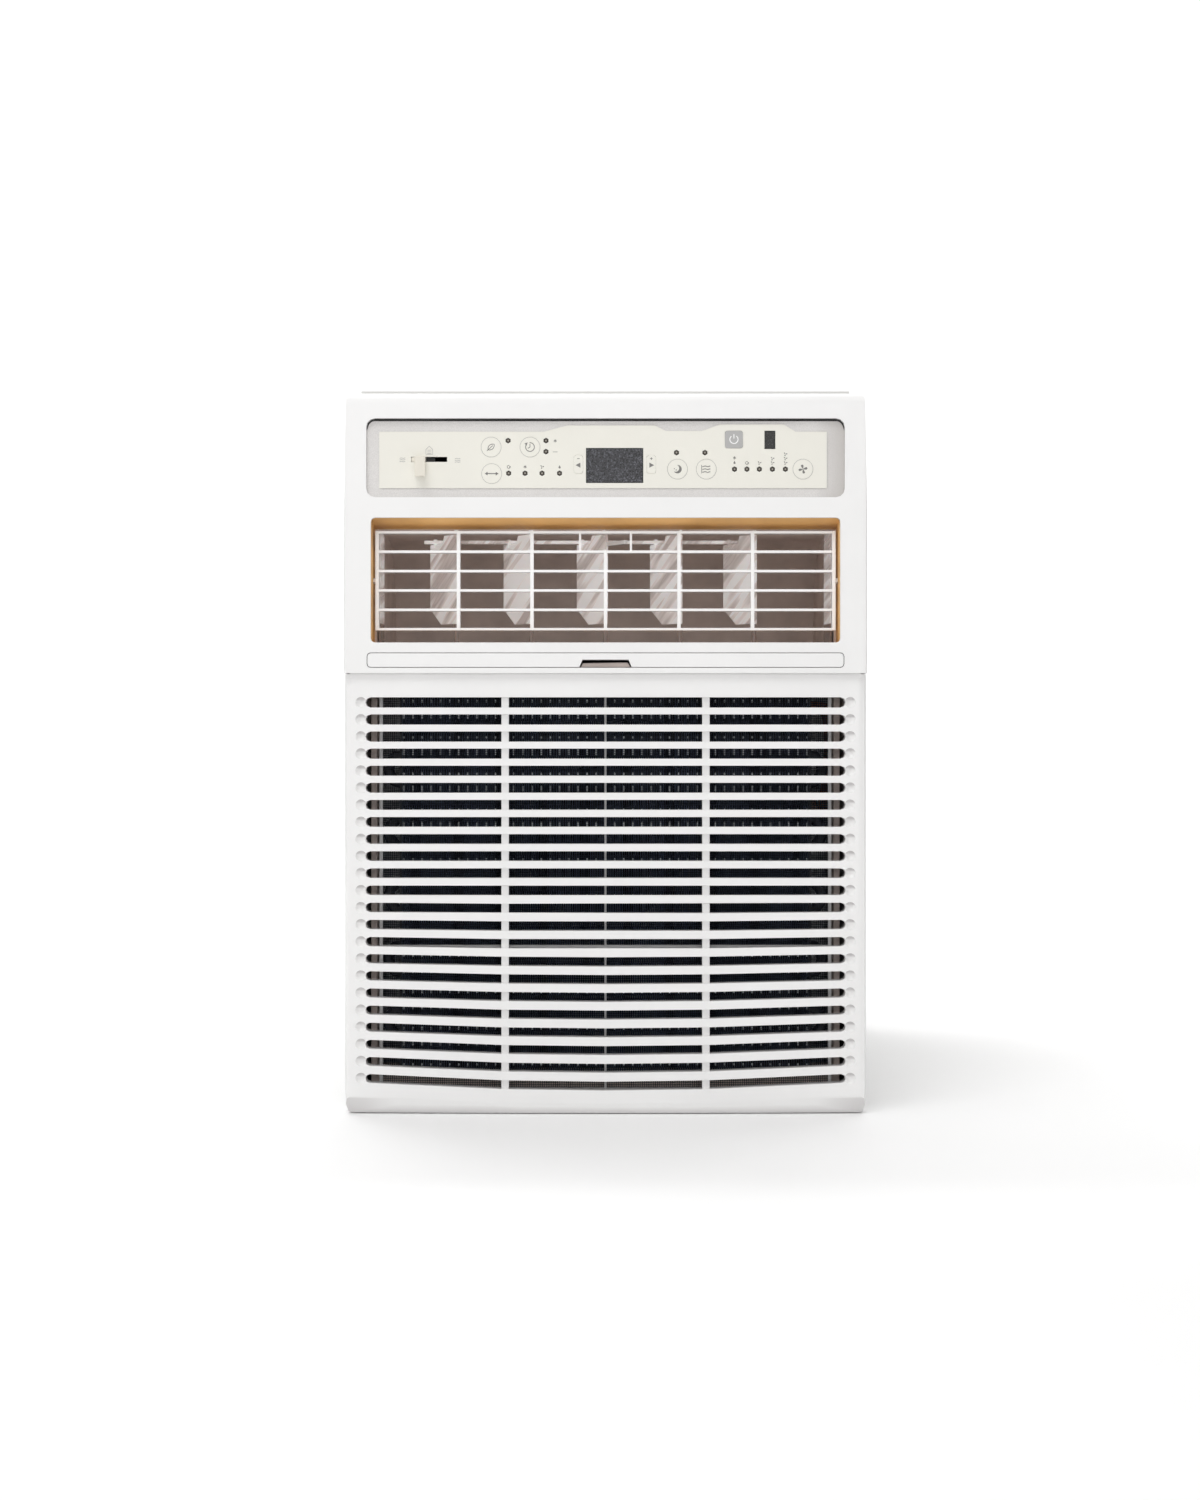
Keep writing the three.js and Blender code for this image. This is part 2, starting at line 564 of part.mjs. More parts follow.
// ---------------------------------------------------------------- cabinet
function basePan() {
  const half = CABINET_HALF - SHEET - 0.3;
  const RIM = 18;
  return join([
    box(-half, half, CABINET_FRONT, CABINET_BACK, 0, SHEET),
    box(-half, SHEET - half, CABINET_FRONT, CABINET_BACK, 0, RIM),
    box(half - SHEET, half, CABINET_FRONT, CABINET_BACK, 0, RIM),
    box(-half, half, CABINET_BACK - SHEET, CABINET_BACK, 0, RIM),
  ]);
}

const CORD_BUSH = { y: -190, z: 44, radius: 6.5 };
const LOUVRE_ROWS = 8;

function cabinetWrapper() {
  const low = 3;
  const sides = box(-CABINET_HALF, CABINET_HALF, CABINET_FRONT, CABINET_BACK, low, CABINET_TOP);
  const inner = CABINET_HALF - SHEET;
  const tools = [box(-inner, inner, CABINET_FRONT - 1, CABINET_BACK + 1, low - 1, CABINET_TOP - SHEET)];
  for (let row = 0; row < LOUVRE_ROWS; row++)
    for (const y of [40, 130]) {
      const z = 110 + row * 34;
      tools.push(box(-CABINET_HALF - 1, CABINET_HALF + 1, y, y + 70, z, z + 6));
    }
  for (let row = 0; row < 5; row++) {
    const y = 60 + row * 26;
    tools.push(box(-120, -20, y, y + 6, CABINET_TOP - 5, CABINET_TOP + 1));
    tools.push(box(20, 120, y, y + 6, CABINET_TOP - 5, CABINET_TOP + 1));
  }
  tools.push(rodX(inner - 5, CABINET_HALF + 1, CORD_BUSH.y, CORD_BUSH.z, CORD_BUSH.radius + GAP, 12));
  return cut(sides, tools);
}

function rearGrille() {
  const half = CABINET_HALF - SHEET - 0.4;
  const holes = [];
  const ROWS = 13;
  for (let row = 0; row < ROWS; row++)
    for (const x of [-154, -76, 2, 80]) {
      const z = 22 + row * 36;
      holes.push(rectangle({ x0: x, x1: x + 74, z0: z, z1: z + 27 }));
    }
  return plateXZ(rectangle({ x0: -half, x1: half, z0: 3, z1: CABINET_TOP - SHEET - 0.4 }),
    BACK - 1.5, BACK, holes);
}

// A flange along the front edge of the cabinet's top, for the sash and the filler panel.
function topRail() {
  const y = at(PANEL_DEPTH + 1);
  const foot = CABINET_TOP + 0.3;
  return plateYZ(
    [[y, foot], [y + 24, foot], [y + 24, foot + 1.5], [y + 1.5, foot + 1.5],
      [y + 1.5, RAIL_TOP], [y, RAIL_TOP]],
    -177.5, 177.5,
  );
}

function bulkhead() {
  const half = CABINET_HALF - SHEET - 1;
  const pipes = [{ x0: 156, x1: half + 1, z0: 30, z1: 62 }, { x0: 156, x1: half + 1, z0: 190, z1: 232 }];
  const sheet = box(SHEET - half, half - SHEET, at(BULKHEAD_FRONT), at(BULKHEAD_FRONT + 1.5),
    1.6, CABINET_TOP - 2);
  const tools = [...ventWindows(0), ...pipes.map((p) => rectangle(p)), circle(0, AXIS_Z, 20, 16)];
  return cut(sheet, tools.map((t) => plateXZ(t, at(BULKHEAD_FRONT - 1), at(BULKHEAD_FRONT + 3))));
}

function cordBush() {
  const profile = [[3.6, -7], [8.6, -7], [8.6, -5], [6.5, -5], [6.5, 0.4], [9, 0.4], [9, 2.5], [6, 5.4],
    [3.6, 5.4], [3.6, -7]];
  return turned(profile, 12);
}

add("base_pan", basePan(), FINISH.zinc);
add("cabinet_wrapper", cabinetWrapper(), FINISH.steel);
add("rear_grille", rearGrille(), FINISH.steel);
add("top_rail", topRail(), FINISH.steel);
add("bulkhead", bulkhead(), FINISH.zinc);
const bush = add("cord_bush", cordBush(), FINISH.black);
bush.position.set(CABINET_HALF, CORD_BUSH.y, CORD_BUSH.z);
bush.rotation.y = Math.PI / 2;

// ---------------------------------------------------------------- heat exchangers
// An end plate with its row of return bends. side is -1 or 1, and bends stand out on that side.
function coilEnd({ half, y0, y1, z0, z1 }, side, bends, firstBend, bendPitch) {
  const PLATE = 1.5;
  const x = half + 0.4;
  const flat = side > 0 ? box(x, x + PLATE, y0, y1, z0, z1) : box(-x - PLATE, -x, y0, y1, z0, z1);
  const pieces = [flat];
  const y = (y0 + y1) / 2;
  for (let i = 0; i < bends; i++) {
    const z = firstBend + i * bendPitch;
    const arc = [[0.5, -10], [5, -10], [11.5, 0], [5, 10], [0.5, 10]];
    pieces.push(tube(arc.map(([dx, dz]) => [side * (x + dx), y, z + dz]), 4, 6, 6));
  }
  return join(pieces);
}

function finBlock({ half, y0, y1, z0, z1 }) {
  return box(-half, half, y0, y1, z0, z1);
}

add("evaporator_fins", finBlock(EVAPORATOR), FINISH.coil);
add("evaporator_end_left", coilEnd(EVAPORATOR, -1, 5, 60, 46), FINISH.zinc);
add("evaporator_end_right", coilEnd(EVAPORATOR, 1, 5, 60, 46), FINISH.zinc);
add("condenser_fins", finBlock(CONDENSER), FINISH.fins);
add("condenser_end_left", coilEnd(CONDENSER, -1, 6, 75, 68), FINISH.zinc);
add("condenser_end_right", coilEnd(CONDENSER, 1, 6, 75, 68), FINISH.zinc);

// A tray under the indoor coil, with a foam cheek standing up beside each end of the coil.
function drainPan() {
  const HALF = 168.2;
  const CHEEK = 4.6;
  const tray = shell(-HALF, HALF, at(27.5), at(95), 5.2, 24.5, 2);
  const cheeks = [-HALF, HALF - CHEEK].map((x) => box(x, x + CHEEK, at(27.5), at(43), 20, 300));
  return join([tray, ...cheeks]);
}
add("drain_pan", drainPan(), FINISH.taupe);

// ---------------------------------------------------------------- blower and fan
const BLOWER = { front: 106, back: 180 };

// The scroll opens out clockwise from its cut-off and leaves upwards on the left.
function blowerScroll() {
  const START = 50;
  const SWEEP = 230;
  const STEPS = 20;
  const volute = [];
  for (let i = 0; i <= STEPS; i++) {
    const turn = (i / STEPS) * SWEEP;
    const angle = THREE.MathUtils.degToRad(START - turn);
    const radius = BLOWER_RADIUS + 8 + (turn / 360) * 52;
    volute.push([radius * Math.cos(angle), AXIS_Z + radius * Math.sin(angle)]);
  }
  const left = volute[STEPS][0];
  volute.push([left, 301], [62, 301]);
  return cut(box(-150, 150, at(97), at(190), 62, 299.9), [
    plateXZ(volute, at(101), at(186)),
    rodY(0, at(96), at(102), AXIS_Z, 60, 32),
    rodY(0, at(185), at(191), AXIS_Z, 30, 24),
  ]);
}

function blowerWheel() {
  const BLADES = 18;
  const { front, back } = BLOWER;
  const ring = (r0, r1, y0, y1, sides) =>
    plateXZ(circle(0, 0, r1, sides), at(y0), at(y1), [circle(0, 0, r0, sides)]);
  const pieces = [
    ring(SHAFT_RADIUS + GAP, BLOWER_RADIUS, back - 4, back, 32),
    ring(SHAFT_RADIUS + GAP, 14, back - 24, back - 3, 16),
    ring(BLOWER_RADIUS - 13, BLOWER_RADIUS, front, front + 4, 32),
  ];
  for (let i = 0; i < BLADES; i++) {
    const blade = [[62, -1.3], [75.2, 3], [74.4, 4.3], [62, 0.3]];
    pieces.push(plateXZ(blade, at(front + 2), at(back - 2)).rotateY((2 * Math.PI * i) / BLADES));
  }
  return join(pieces);
}

function condenserFan() {
  const BLADES = 5;
  const Y = 192;
  const PITCH = THREE.MathUtils.degToRad(24);
  const ring = (r0, r1, y0, y1, sides) =>
    plateXZ(circle(0, 0, r1, sides), y0, y1, [circle(0, 0, r0, sides)]);
  const pieces = [
    ring(SHAFT_RADIUS + GAP, 30, Y - 12, Y + 12, 20),
    ring(FAN_RADIUS - 3.5, FAN_RADIUS, Y - 14, Y + 14, 32),
  ];
  const outlineOfBlade = [[26, -13], [80, -28], [128, -36], [138, -20], [137, 22], [100, 30],
    [50, 20], [26, 12]];
  for (let i = 0; i < BLADES; i++)
    pieces.push(
      common([
        plateXZ(outlineOfBlade, -1.3, 1.3).rotateX(PITCH).translate(0, Y, 0),
        rodY(0, Y - 30, Y + 30, 0, FAN_RADIUS - 1, 32),
      ]).rotateY((2 * Math.PI * i) / BLADES),
    );
  return join(pieces);
}

function fanShroud() {
  const ORIFICE = 143;
  const plate = plateXZ(rectangle({ x0: -158, x1: 158, z0: 20, z1: 494 }), 209, 211.5, [
    circle(0, AXIS_Z, ORIFICE, 32),
  ]);
  const collar = plateXZ(circle(0, AXIS_Z, ORIFICE + 3, 32), 186, 210, [
    circle(0, AXIS_Z, ORIFICE, 32),
  ]);
  return join([plate, collar]);
}

const rotor = new THREE.Group();
rotor.position.z = AXIS_Z;
group.add(rotor);
add("motor_shaft", rodY(0, at(135), 206, 0, SHAFT_RADIUS, 16), FINISH.zinc, rotor);
add("blower_wheel", blowerWheel(), FINISH.black, rotor);
add("condenser_fan", condenserFan(), FINISH.black, rotor);
add("blower_scroll", blowerScroll(), FINISH.foam);
add("fan_shroud", fanShroud(), FINISH.black);

const motor = add("fan_motor",
  turned([[5.8, -40], [20, -40], [20, -34], [44, -34], [50, -27], [50, 27], [44, 34], [20, 34], [20, 40],
    [5.8, 40], [5.8, -40]], 20),
  FINISH.zinc);
motor.position.set(0, -10, AXIS_Z);
motor.rotation.x = Math.PI / 2;

function motorBracket() {
  const stand = [[-28, 1.6], [28, 1.6], [28, 30], [52, 120], [52, AXIS_Z + 40], [30, AXIS_Z + 60],
    [-30, AXIS_Z + 60], [-52, AXIS_Z + 40], [-52, 120], [-28, 30]];
  const plate = plateXZ(stand, 25, 27.5, [circle(0, AXIS_Z, 21, 20)]);
  return join([plate, box(-28, 28, 26, 60, 1.6, 4), box(-28, 28, -8, 26, 1.6, 4)]);
}
add("motor_bracket", motorBracket(), FINISH.zinc);

// ---------------------------------------------------------------- refrigeration and electrics
function compressor() {
  const { radius } = COMPRESSOR;
  const can = turned([[0, 14], [radius - 10, 14], [radius, 22], [radius, 196], [radius - 8, 206],
    [radius - 26, 212], [0, 214]], 22);
  const foot = plateXY(
    [0, 1, 2].flatMap((k) => {
      const a = (k * 2 * Math.PI) / 3 + Math.PI / 2;
      return [-0.18, 0.18].map((d) => [64 * Math.cos(a + d), 64 * Math.sin(a + d)]);
    }),
    10.5, 14.5,
  );
  const rubber = [0, 1, 2].map((k) => {
    const a = (k * 2 * Math.PI) / 3 + Math.PI / 2;
    return rodZ(57 * Math.cos(a), 57 * Math.sin(a), 1.6, 11, 6, 10);
  });
  return join([can, foot, ...rubber, rodZ(-18, 0, 208, 222, 13, 12)]);
}
add("compressor", compressor(), FINISH.black).position.set(COMPRESSOR.x, COMPRESSOR.y, 0);
const can = turned([[0, 62], [9, 62], [18, 72], [18, 178], [9, 188], [0, 188]], 14);
add("accumulator", can, FINISH.black).position.set(152, 2, 0);

const copper = (name, points, radius, steps) => add(name, tube(points, radius, 6, steps), FINISH.copper);
copper("suction_line",
  [[148.6, -218, 290], [158, -218, 290], [165, -200, 272], [165, -150, 215], [165, -70, 210], [163, -25, 222],
    [153, -2, 216], [152, 2, 203], [152, 2, 188.6]], 4.5, 24);
copper("discharge_line",
  [[112, 90, 213.2], [112, 90, 270], [122, 100, 320], [150, 140, 350], [168, 175, 400], [168, 205, 460],
    [167, 238, 474], [160, 244, 474], [152.4, 244, 474]], 3.5, 24);
copper("capillary_line",
  [[152.4, 244, 34], [162, 244, 34], [169, 225, 36], [170, 100, 42], [169, 0, 44], [166, -70, 44],
    [166, -150, 44], [165, -205, 38], [158, -218, 36], [148.6, -218, 36]], 2, 26);

add("electrical_box", shell(14, 150, at(62), at(150), 441, 499, 1.5), FINISH.zinc);
add("run_capacitor", rodY(110, at(72), at(136), 466, 19, 20), FINISH.zinc);

export default group;
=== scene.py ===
"""Looks for the slider and casement window air conditioner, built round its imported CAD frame.

Everything is in metres in the CAD frame: +Z up, the room side facing -Y.
"""
import math

import bmesh
import bpy
from mathutils import Matrix, Vector


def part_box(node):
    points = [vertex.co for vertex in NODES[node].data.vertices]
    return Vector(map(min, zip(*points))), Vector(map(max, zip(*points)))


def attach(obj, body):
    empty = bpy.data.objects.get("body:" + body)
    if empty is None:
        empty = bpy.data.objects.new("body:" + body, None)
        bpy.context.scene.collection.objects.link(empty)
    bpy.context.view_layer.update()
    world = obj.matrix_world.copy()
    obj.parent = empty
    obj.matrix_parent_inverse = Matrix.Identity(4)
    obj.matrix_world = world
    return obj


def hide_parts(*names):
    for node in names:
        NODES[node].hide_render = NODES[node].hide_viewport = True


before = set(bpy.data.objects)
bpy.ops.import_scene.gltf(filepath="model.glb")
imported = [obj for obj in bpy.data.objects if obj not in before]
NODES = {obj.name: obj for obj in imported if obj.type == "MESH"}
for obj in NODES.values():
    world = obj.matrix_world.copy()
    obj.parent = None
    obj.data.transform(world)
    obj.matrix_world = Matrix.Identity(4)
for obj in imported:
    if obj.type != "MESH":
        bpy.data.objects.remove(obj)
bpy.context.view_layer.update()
MM = 0.001
FACE_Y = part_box("front_panel")[0].y
WELD_GAP = 0.02 * MM
CABINET_SIDE = 178
CABINET_TOP = 505


# ------------------------------------------------------------------ camera, light and floor
CAMERA_DISTANCE = 1.6
CAMERA_OFFSET = (-3.9 * MM, 258 * MM)
CAMERA_LENS = 54.4
WORLD_COLOR = (1, 0.995, 0.985, 1)
WORLD_STRENGTH = 0.3
# Each light: its name, its place, the point it aims at, its width and height, and its power in watts.
LIGHTS = (
    ("key", (-0.5, -1.5, 2.1), (0, -0.25, 0.35), (1.4, 1), 19.2),
    ("front_fill", (0.1, -2.7, 0.95), (0, -0.25, 0.3), (2.2, 1.2), 10.9),
    ("left_fill", (-1.9, -0.6, 0.9), (0, 0, 0.25), (1, 1.4), 4),
    ("right_fill", (1.9, -0.4, 0.9), (0, 0, 0.25), (1, 1.4), 3),
    ("rear_fill", (-1.1, 1.5, 1.1), (0, 0.2, 0.25), (0.9, 0.9), 6),
    ("top_fill", (0, 0.1, 2.3), (0, 0, 0), (1.8, 1.8), 15.5),
    ("wall_wash", (0, 0.9, 2.7), (0, 2.5, 0.7), (3.4, 0.6), 44),
)


def make_camera():
    """Level with the middle of the face, a little to its left, as in the photograph."""
    data = bpy.data.cameras.new("camera")
    data.lens = CAMERA_LENS
    data.clip_start = 0.05
    camera = bpy.data.objects.new("camera", data)
    camera.location = (CAMERA_OFFSET[0], FACE_Y - CAMERA_DISTANCE, CAMERA_OFFSET[1])
    camera.rotation_euler = (math.radians(90), 0, 0)
    bpy.context.scene.collection.objects.link(camera)
    bpy.context.scene.camera = camera


def area_light(name, place, aim, size, power):
    data = bpy.data.lights.new(name, "AREA")
    data.shape = "RECTANGLE"
    data.size, data.size_y = size
    data.energy = power
    light = bpy.data.objects.new(name, data)
    light.location = place
    light.rotation_euler = (Vector(aim) - Vector(place)).to_track_quat("-Z", "Y").to_euler()
    bpy.context.scene.collection.objects.link(light)


def make_studio():
    for light in LIGHTS:
        area_light(*light)
    world = bpy.data.worlds.new("studio")
    world.use_nodes = True
    background = world.node_tree.nodes["Background"]
    background.inputs["Color"].default_value = WORLD_COLOR
    background.inputs["Strength"].default_value = WORLD_STRENGTH
    bpy.context.scene.world = world
    bpy.context.scene.view_settings.view_transform = "Standard"


# ------------------------------------------------------------------ materials
class Paint:
    """A node material being built: a Principled shader fed by procedural textures in object space."""

    def __init__(self, name):
        self.material = bpy.data.materials.new(name)
        self.material.use_nodes = True
        self.tree = self.material.node_tree
        self.shader = self.tree.nodes["Principled BSDF"]
        coordinates = self.node("ShaderNodeTexCoord")
        self.place = coordinates.outputs["Object"]

    def node(self, kind, **settings):
        made = self.tree.nodes.new(kind)
        for key, value in settings.items():
            setattr(made, key, value)
        return made

    def link(self, start, end):
        self.tree.links.new(start, end)

    def noise(self, scale, detail=3, stretch=None, turn=(0, 0, 0)):
        made = self.node("ShaderNodeTexNoise")
        made.inputs["Scale"].default_value = scale
        made.inputs["Detail"].default_value = detail
        source = self.place
        if stretch:
            mapping = self.node("ShaderNodeMapping", vector_type="TEXTURE")
            mapping.inputs["Scale"].default_value = stretch
            mapping.inputs["Rotation"].default_value = [math.radians(angle) for angle in turn]
            self.link(self.place, mapping.inputs["Vector"])
            source = mapping.outputs["Vector"]
        self.link(source, made.inputs["Vector"])
        return made.outputs["Fac"]

    def axes(self, vector):
        """The X, Y and Z outputs of a vector."""
        split = self.node("ShaderNodeSeparateXYZ")
        self.link(vector, split.inputs["Vector"])
        return split.outputs

    def compare(self, operation, value, limit):
        made = self.node("ShaderNodeMath", operation=operation)
        self.link(value, made.inputs[0])
        made.inputs[1].default_value = limit
        return made.outputs[0]

    def ramp(self, value, stops):
        made = self.node("ShaderNodeValToRGB")
        ramp = made.color_ramp
        for element, (position, color) in zip(ramp.elements, (stops[0], stops[-1])):
            element.position = position
            element.color = (*color, 1)
        for position, color in stops[1:-1]:
            ramp.elements.new(position).color = (*color, 1)
        self.link(value, made.inputs["Fac"])
        return made.outputs["Color"]

    def spread(self, value, low, high, start=0.3, end=0.7):
        made = self.node("ShaderNodeMapRange")
        for key, number in (("From Min", start), ("From Max", end), ("To Min", low), ("To Max", high)):
            made.inputs[key].default_value = number
        self.link(value, made.inputs["Value"])
        return made.outputs["Result"]

    def mix(self, factor, first, second):
        made = self.node("ShaderNodeMix", data_type="RGBA")
        self.link(factor, made.inputs["Factor"])
        for value, socket in ((first, made.inputs["A"]), (second, made.inputs["B"])):
            if isinstance(value, tuple):
                socket.default_value = (*value, 1)
            else:
                self.link(value, socket)
        return made.outputs["Result"]

    def bump(self, height, strength, distance=0.0002):
        made = self.node("ShaderNodeBump")
        made.inputs["Strength"].default_value = strength
        made.inputs["Distance"].default_value = distance
        self.link(height, made.inputs["Height"])
        self.link(made.outputs["Normal"], self.shader.inputs["Normal"])

    def worn_edges(self, color, worn):
        """Edges, where the surface curves outwards, go towards the worn colour."""
        geometry = self.node("ShaderNodeNewGeometry")
        edge = self.spread(geometry.outputs["Pointiness"], 0, 0.6, 0.52, 0.62)
        return self.mix(edge, color, worn)


def shade(color, factor):
    return tuple(min(1, c * factor) for c in color)


def plain_finish(name, color, rough, grain=1100, bump=0.12, vary=0.04, cloud=14, metallic=0, worn=None):
    """Moulded, cast or painted: a cloudy tone, a fine grain and a roughness that wanders."""
    paint = Paint(name)
    tone = paint.ramp(paint.noise(cloud), [(0.3, shade(color, 1 - vary)), (0.7, shade(color, 1 + vary))])
    if worn:
        tone = paint.worn_edges(tone, worn)
    paint.link(tone, paint.shader.inputs["Base Color"])
    sheen = paint.spread(paint.noise(cloud * 3), rough * 0.85, rough * 1.2)
    paint.link(sheen, paint.shader.inputs["Roughness"])
    paint.bump(paint.noise(grain, 2), bump)
    paint.shader.inputs["Metallic"].default_value = metallic
    return paint


def white_moulding(name, color):
    """Glossy white plastic, with painted shade that darkens the faces that look down."""
    paint = plain_finish(name, color, 0.34, vary=0.012)
    geometry = paint.node("ShaderNodeNewGeometry")
    # Painted shade: faces that look down are mixed towards a grey, for the shade under the chin and ledges.
    painted_underside_shade = paint.spread(paint.axes(geometry.outputs["Normal"])["Z"], 0.95, 0, -0.6, -0.2)
    tone = paint.shader.inputs["Base Color"].links[0].from_socket
    paint.link(paint.mix(painted_underside_shade, tone, (0.58, 0.56, 0.56)), paint.shader.inputs["Base Color"])
    paint.shader.inputs["Coat Weight"].default_value = 0.08
    paint.shader.inputs["Coat Roughness"].default_value = 0.25
    return paint.material


def silver_bezel():
    """Silver-grey paint with a fine metal flake, and painted shade that darkens its right-hand end."""
    paint = Paint("silver_bezel")
    flake = paint.noise(2600, 1)
    tone = paint.ramp(flake, [(0.35, (0.68, 0.66, 0.645)), (0.65, (0.78, 0.76, 0.745))])
    # Painted shade: the tone darkens towards the right-hand end, standing in for the shade on its sloped
    # edge.
    painted_end_shade = paint.spread(paint.axes(paint.place)["X"], 0, 0.9, 148 * MM, 170 * MM)
    paint.link(paint.mix(painted_end_shade, tone, (0.5, 0.475, 0.455)), paint.shader.inputs["Base Color"])
    paint.link(paint.spread(paint.noise(30), 0.34, 0.46), paint.shader.inputs["Roughness"])
    paint.shader.inputs["Metallic"].default_value = 0.15
    paint.bump(flake, 0.1)
    return paint.material


def smoked_window(name, sparkle):
    """Dark window with a fine sparkle in its textured face."""
    paint = Paint(name)
    speck = paint.noise(1000, 3)
    middle = shade(sparkle, 0.23)
    tone = paint.ramp(speck, [(0.4, shade(sparkle, 0.08)), (0.56, middle), (0.7, sparkle)])
    paint.link(tone, paint.shader.inputs["Base Color"])
    paint.link(paint.spread(speck, 0.24, 0.4), paint.shader.inputs["Roughness"])
    paint.bump(speck, 0.35)
    return paint.material


def ochre_liner():
    """Ochre plastic with broad, cloudy changes of tone."""
    paint = Paint("ochre_liner")
    cloud = paint.noise(18, 4, (1, 1, 0.35))
    tone = paint.ramp(
        cloud, [(0.3, (0.62, 0.35, 0.13)), (0.55, (0.82, 0.48, 0.18)), (0.75, (0.88, 0.55, 0.23))]
    )
    paint.link(tone, paint.shader.inputs["Base Color"])
    paint.link(paint.spread(cloud, 0.4, 0.6), paint.shader.inputs["Roughness"])
    paint.bump(paint.noise(900, 2), 0.15)
    return paint.material


def clear_vane():
    """Milky plastic with slanting streaks of painted light and shadow, and a faint painted glow (emission)
    over the blades.

    The lower pivots, below the blades, are brown.
    """
    paint = Paint("clear_vane")
    # Painted light and shadow: slanting bright and dark streaks stand in for the slats' shadows and
    # reflections on the blades.
    painted_streaks = paint.noise(150, 2, (1, 12, 12), (0, 36, 0))
    tone = paint.ramp(
        painted_streaks, [(0.38, (0.6, 0.54, 0.515)), (0.49, (0.86, 0.81, 0.79)), (0.54, (1, 0.985, 0.98))]
    )
    pivot = paint.spread(paint.axes(paint.place)["Z"], 1, 0, 348.7 * MM, 349.4 * MM)
    tone = paint.mix(pivot, tone, (0.42, 0.35, 0.32))
    paint.link(tone, paint.shader.inputs["Base Color"])
    paint.link(paint.spread(painted_streaks, 0.3, 0.14), paint.shader.inputs["Roughness"])
    # Painted glow: the blades emit a little of their own colour, though they are no lamp.
    paint.link(paint.mix(pivot, tone, (0, 0, 0)), paint.shader.inputs["Emission Color"])
    paint.shader.inputs["Emission Strength"].default_value = 0.17
    paint.shader.inputs["Transmission Weight"].default_value = 0.04
    paint.shader.inputs["Subsurface Weight"].default_value = 0.15
    paint.shader.inputs["Subsurface Scale"].default_value = 0.003
    paint.shader.inputs["IOR"].default_value = 1.49
    paint.bump(painted_streaks, 0.3, 0.001)
    return paint.material


def brushed(name, color, rough, stretch=(30, 1, 1)):
    """Zinc coated or bare sheet with a drawn grain and faint spangle."""
    paint = Paint(name)
    grain = paint.noise(60, 4, stretch)
    tone = paint.ramp(grain, [(0.3, shade(color, 0.86)), (0.7, shade(color, 1.1))])
    paint.link(paint.worn_edges(tone, shade(color, 1.25)), paint.shader.inputs["Base Color"])
    paint.link(paint.spread(paint.noise(26), rough * 0.8, rough * 1.3), paint.shader.inputs["Roughness"])
    paint.shader.inputs["Metallic"].default_value = 0.9
    paint.bump(grain, 0.12)
    return paint.material


def board_and_lamps():
    """Green board; the light guides that reach the film are dark smoked plastic."""
    paint = Paint("board_and_lamps")
    in_front = paint.compare("LESS_THAN", paint.axes(paint.place)["Y"], FACE_Y + 5.5 * MM)
    weave = paint.noise(160)
    green = paint.ramp(weave, [(0.35, (0.02, 0.09, 0.04)), (0.65, (0.04, 0.15, 0.07))])
    tone = paint.mix(in_front, green, (0.045, 0.04, 0.035))
    paint.link(tone, paint.shader.inputs["Base Color"])
    paint.link(paint.spread(weave, 0.3, 0.5), paint.shader.inputs["Roughness"])
    return paint.material


def vent_lever_plastic():
    """Cream knob; the slide plate behind the film, to the knob's right, is painted near black as the shade
    inside the slot.
    """
    paint = plain_finish("vent_lever_plastic", (0.8, 0.76, 0.67), 0.42, grain=1500, bump=0.1, vary=0.03)
    axes = paint.axes(paint.place)
    # Painted shade: behind the film and right of the knob the lever goes near black, for the dark of the
    # slot.
    both = paint.node("ShaderNodeMath", operation="MULTIPLY")
    paint.link(paint.compare("GREATER_THAN", axes["Y"], FACE_Y + 2.9 * MM), both.inputs[0])
    paint.link(paint.compare("GREATER_THAN", axes["X"], -127 * MM), both.inputs[1])
    tone = paint.shader.inputs["Base Color"].links[0].from_socket
    paint.link(paint.mix(both.outputs[0], tone, (0.012, 0.011, 0.01)), paint.shader.inputs["Base Color"])
    return paint.material


WHITE = white_moulding("white_moulding", (0.905, 0.9, 0.895))
# A lighter copy of the white moulding: painted light that lifts the recessed louvre grid and lever out of
# their shade.
GRID_WHITE_LIT = white_moulding("grid_moulding_painted_light", (0.975, 0.97, 0.968))
SILVER = silver_bezel()
CREAM = plain_finish(
    "cream_film", (0.86, 0.842, 0.77), 0.42, grain=1800, bump=0.08, vary=0.012
).material
LEVER = vent_lever_plastic()
KEY_GREY = plain_finish(
    "key_grey", (0.46, 0.455, 0.45), 0.4, grain=1500, bump=0.1, vary=0.03
).material
SMOKED = smoked_window("display_tint", (0.165, 0.167, 0.195))
DARK_WINDOW = smoked_window("receiver_tint", (0.07, 0.068, 0.068))
FOAM_BROWN = plain_finish(
    "duct_foam", (0.88, 0.765, 0.71), 0.8, grain=500, bump=0.4, vary=0.1, cloud=40
).material
OCHRE = ochre_liner()
VANE = clear_vane()
ZINC = brushed("zinc_sheet", (0.6, 0.61, 0.62), 0.34)
STEEL_BAR = brushed("turned_steel", (0.52, 0.52, 0.53), 0.28, (1, 40, 1))
POWDER = plain_finish(
    "powder_coat", (0.67, 0.665, 0.65), 0.46, grain=420, bump=0.22, vary=0.02, worn=(0.58, 0.57, 0.55)
).material
BOARD = board_and_lamps()
FOAM_WHITE = plain_finish(
    "expanded_foam", (0.82, 0.82, 0.79), 0.85, grain=260, bump=0.6, vary=0.04
).material
BLACK = plain_finish(
    "black_moulding", (0.022, 0.022, 0.024), 0.42, vary=0.2, worn=(0.06, 0.06, 0.062)
).material
ENAMEL = plain_finish(
    "black_enamel", (0.014, 0.014, 0.016), 0.25, grain=300, bump=0.1, vary=0.2
).material
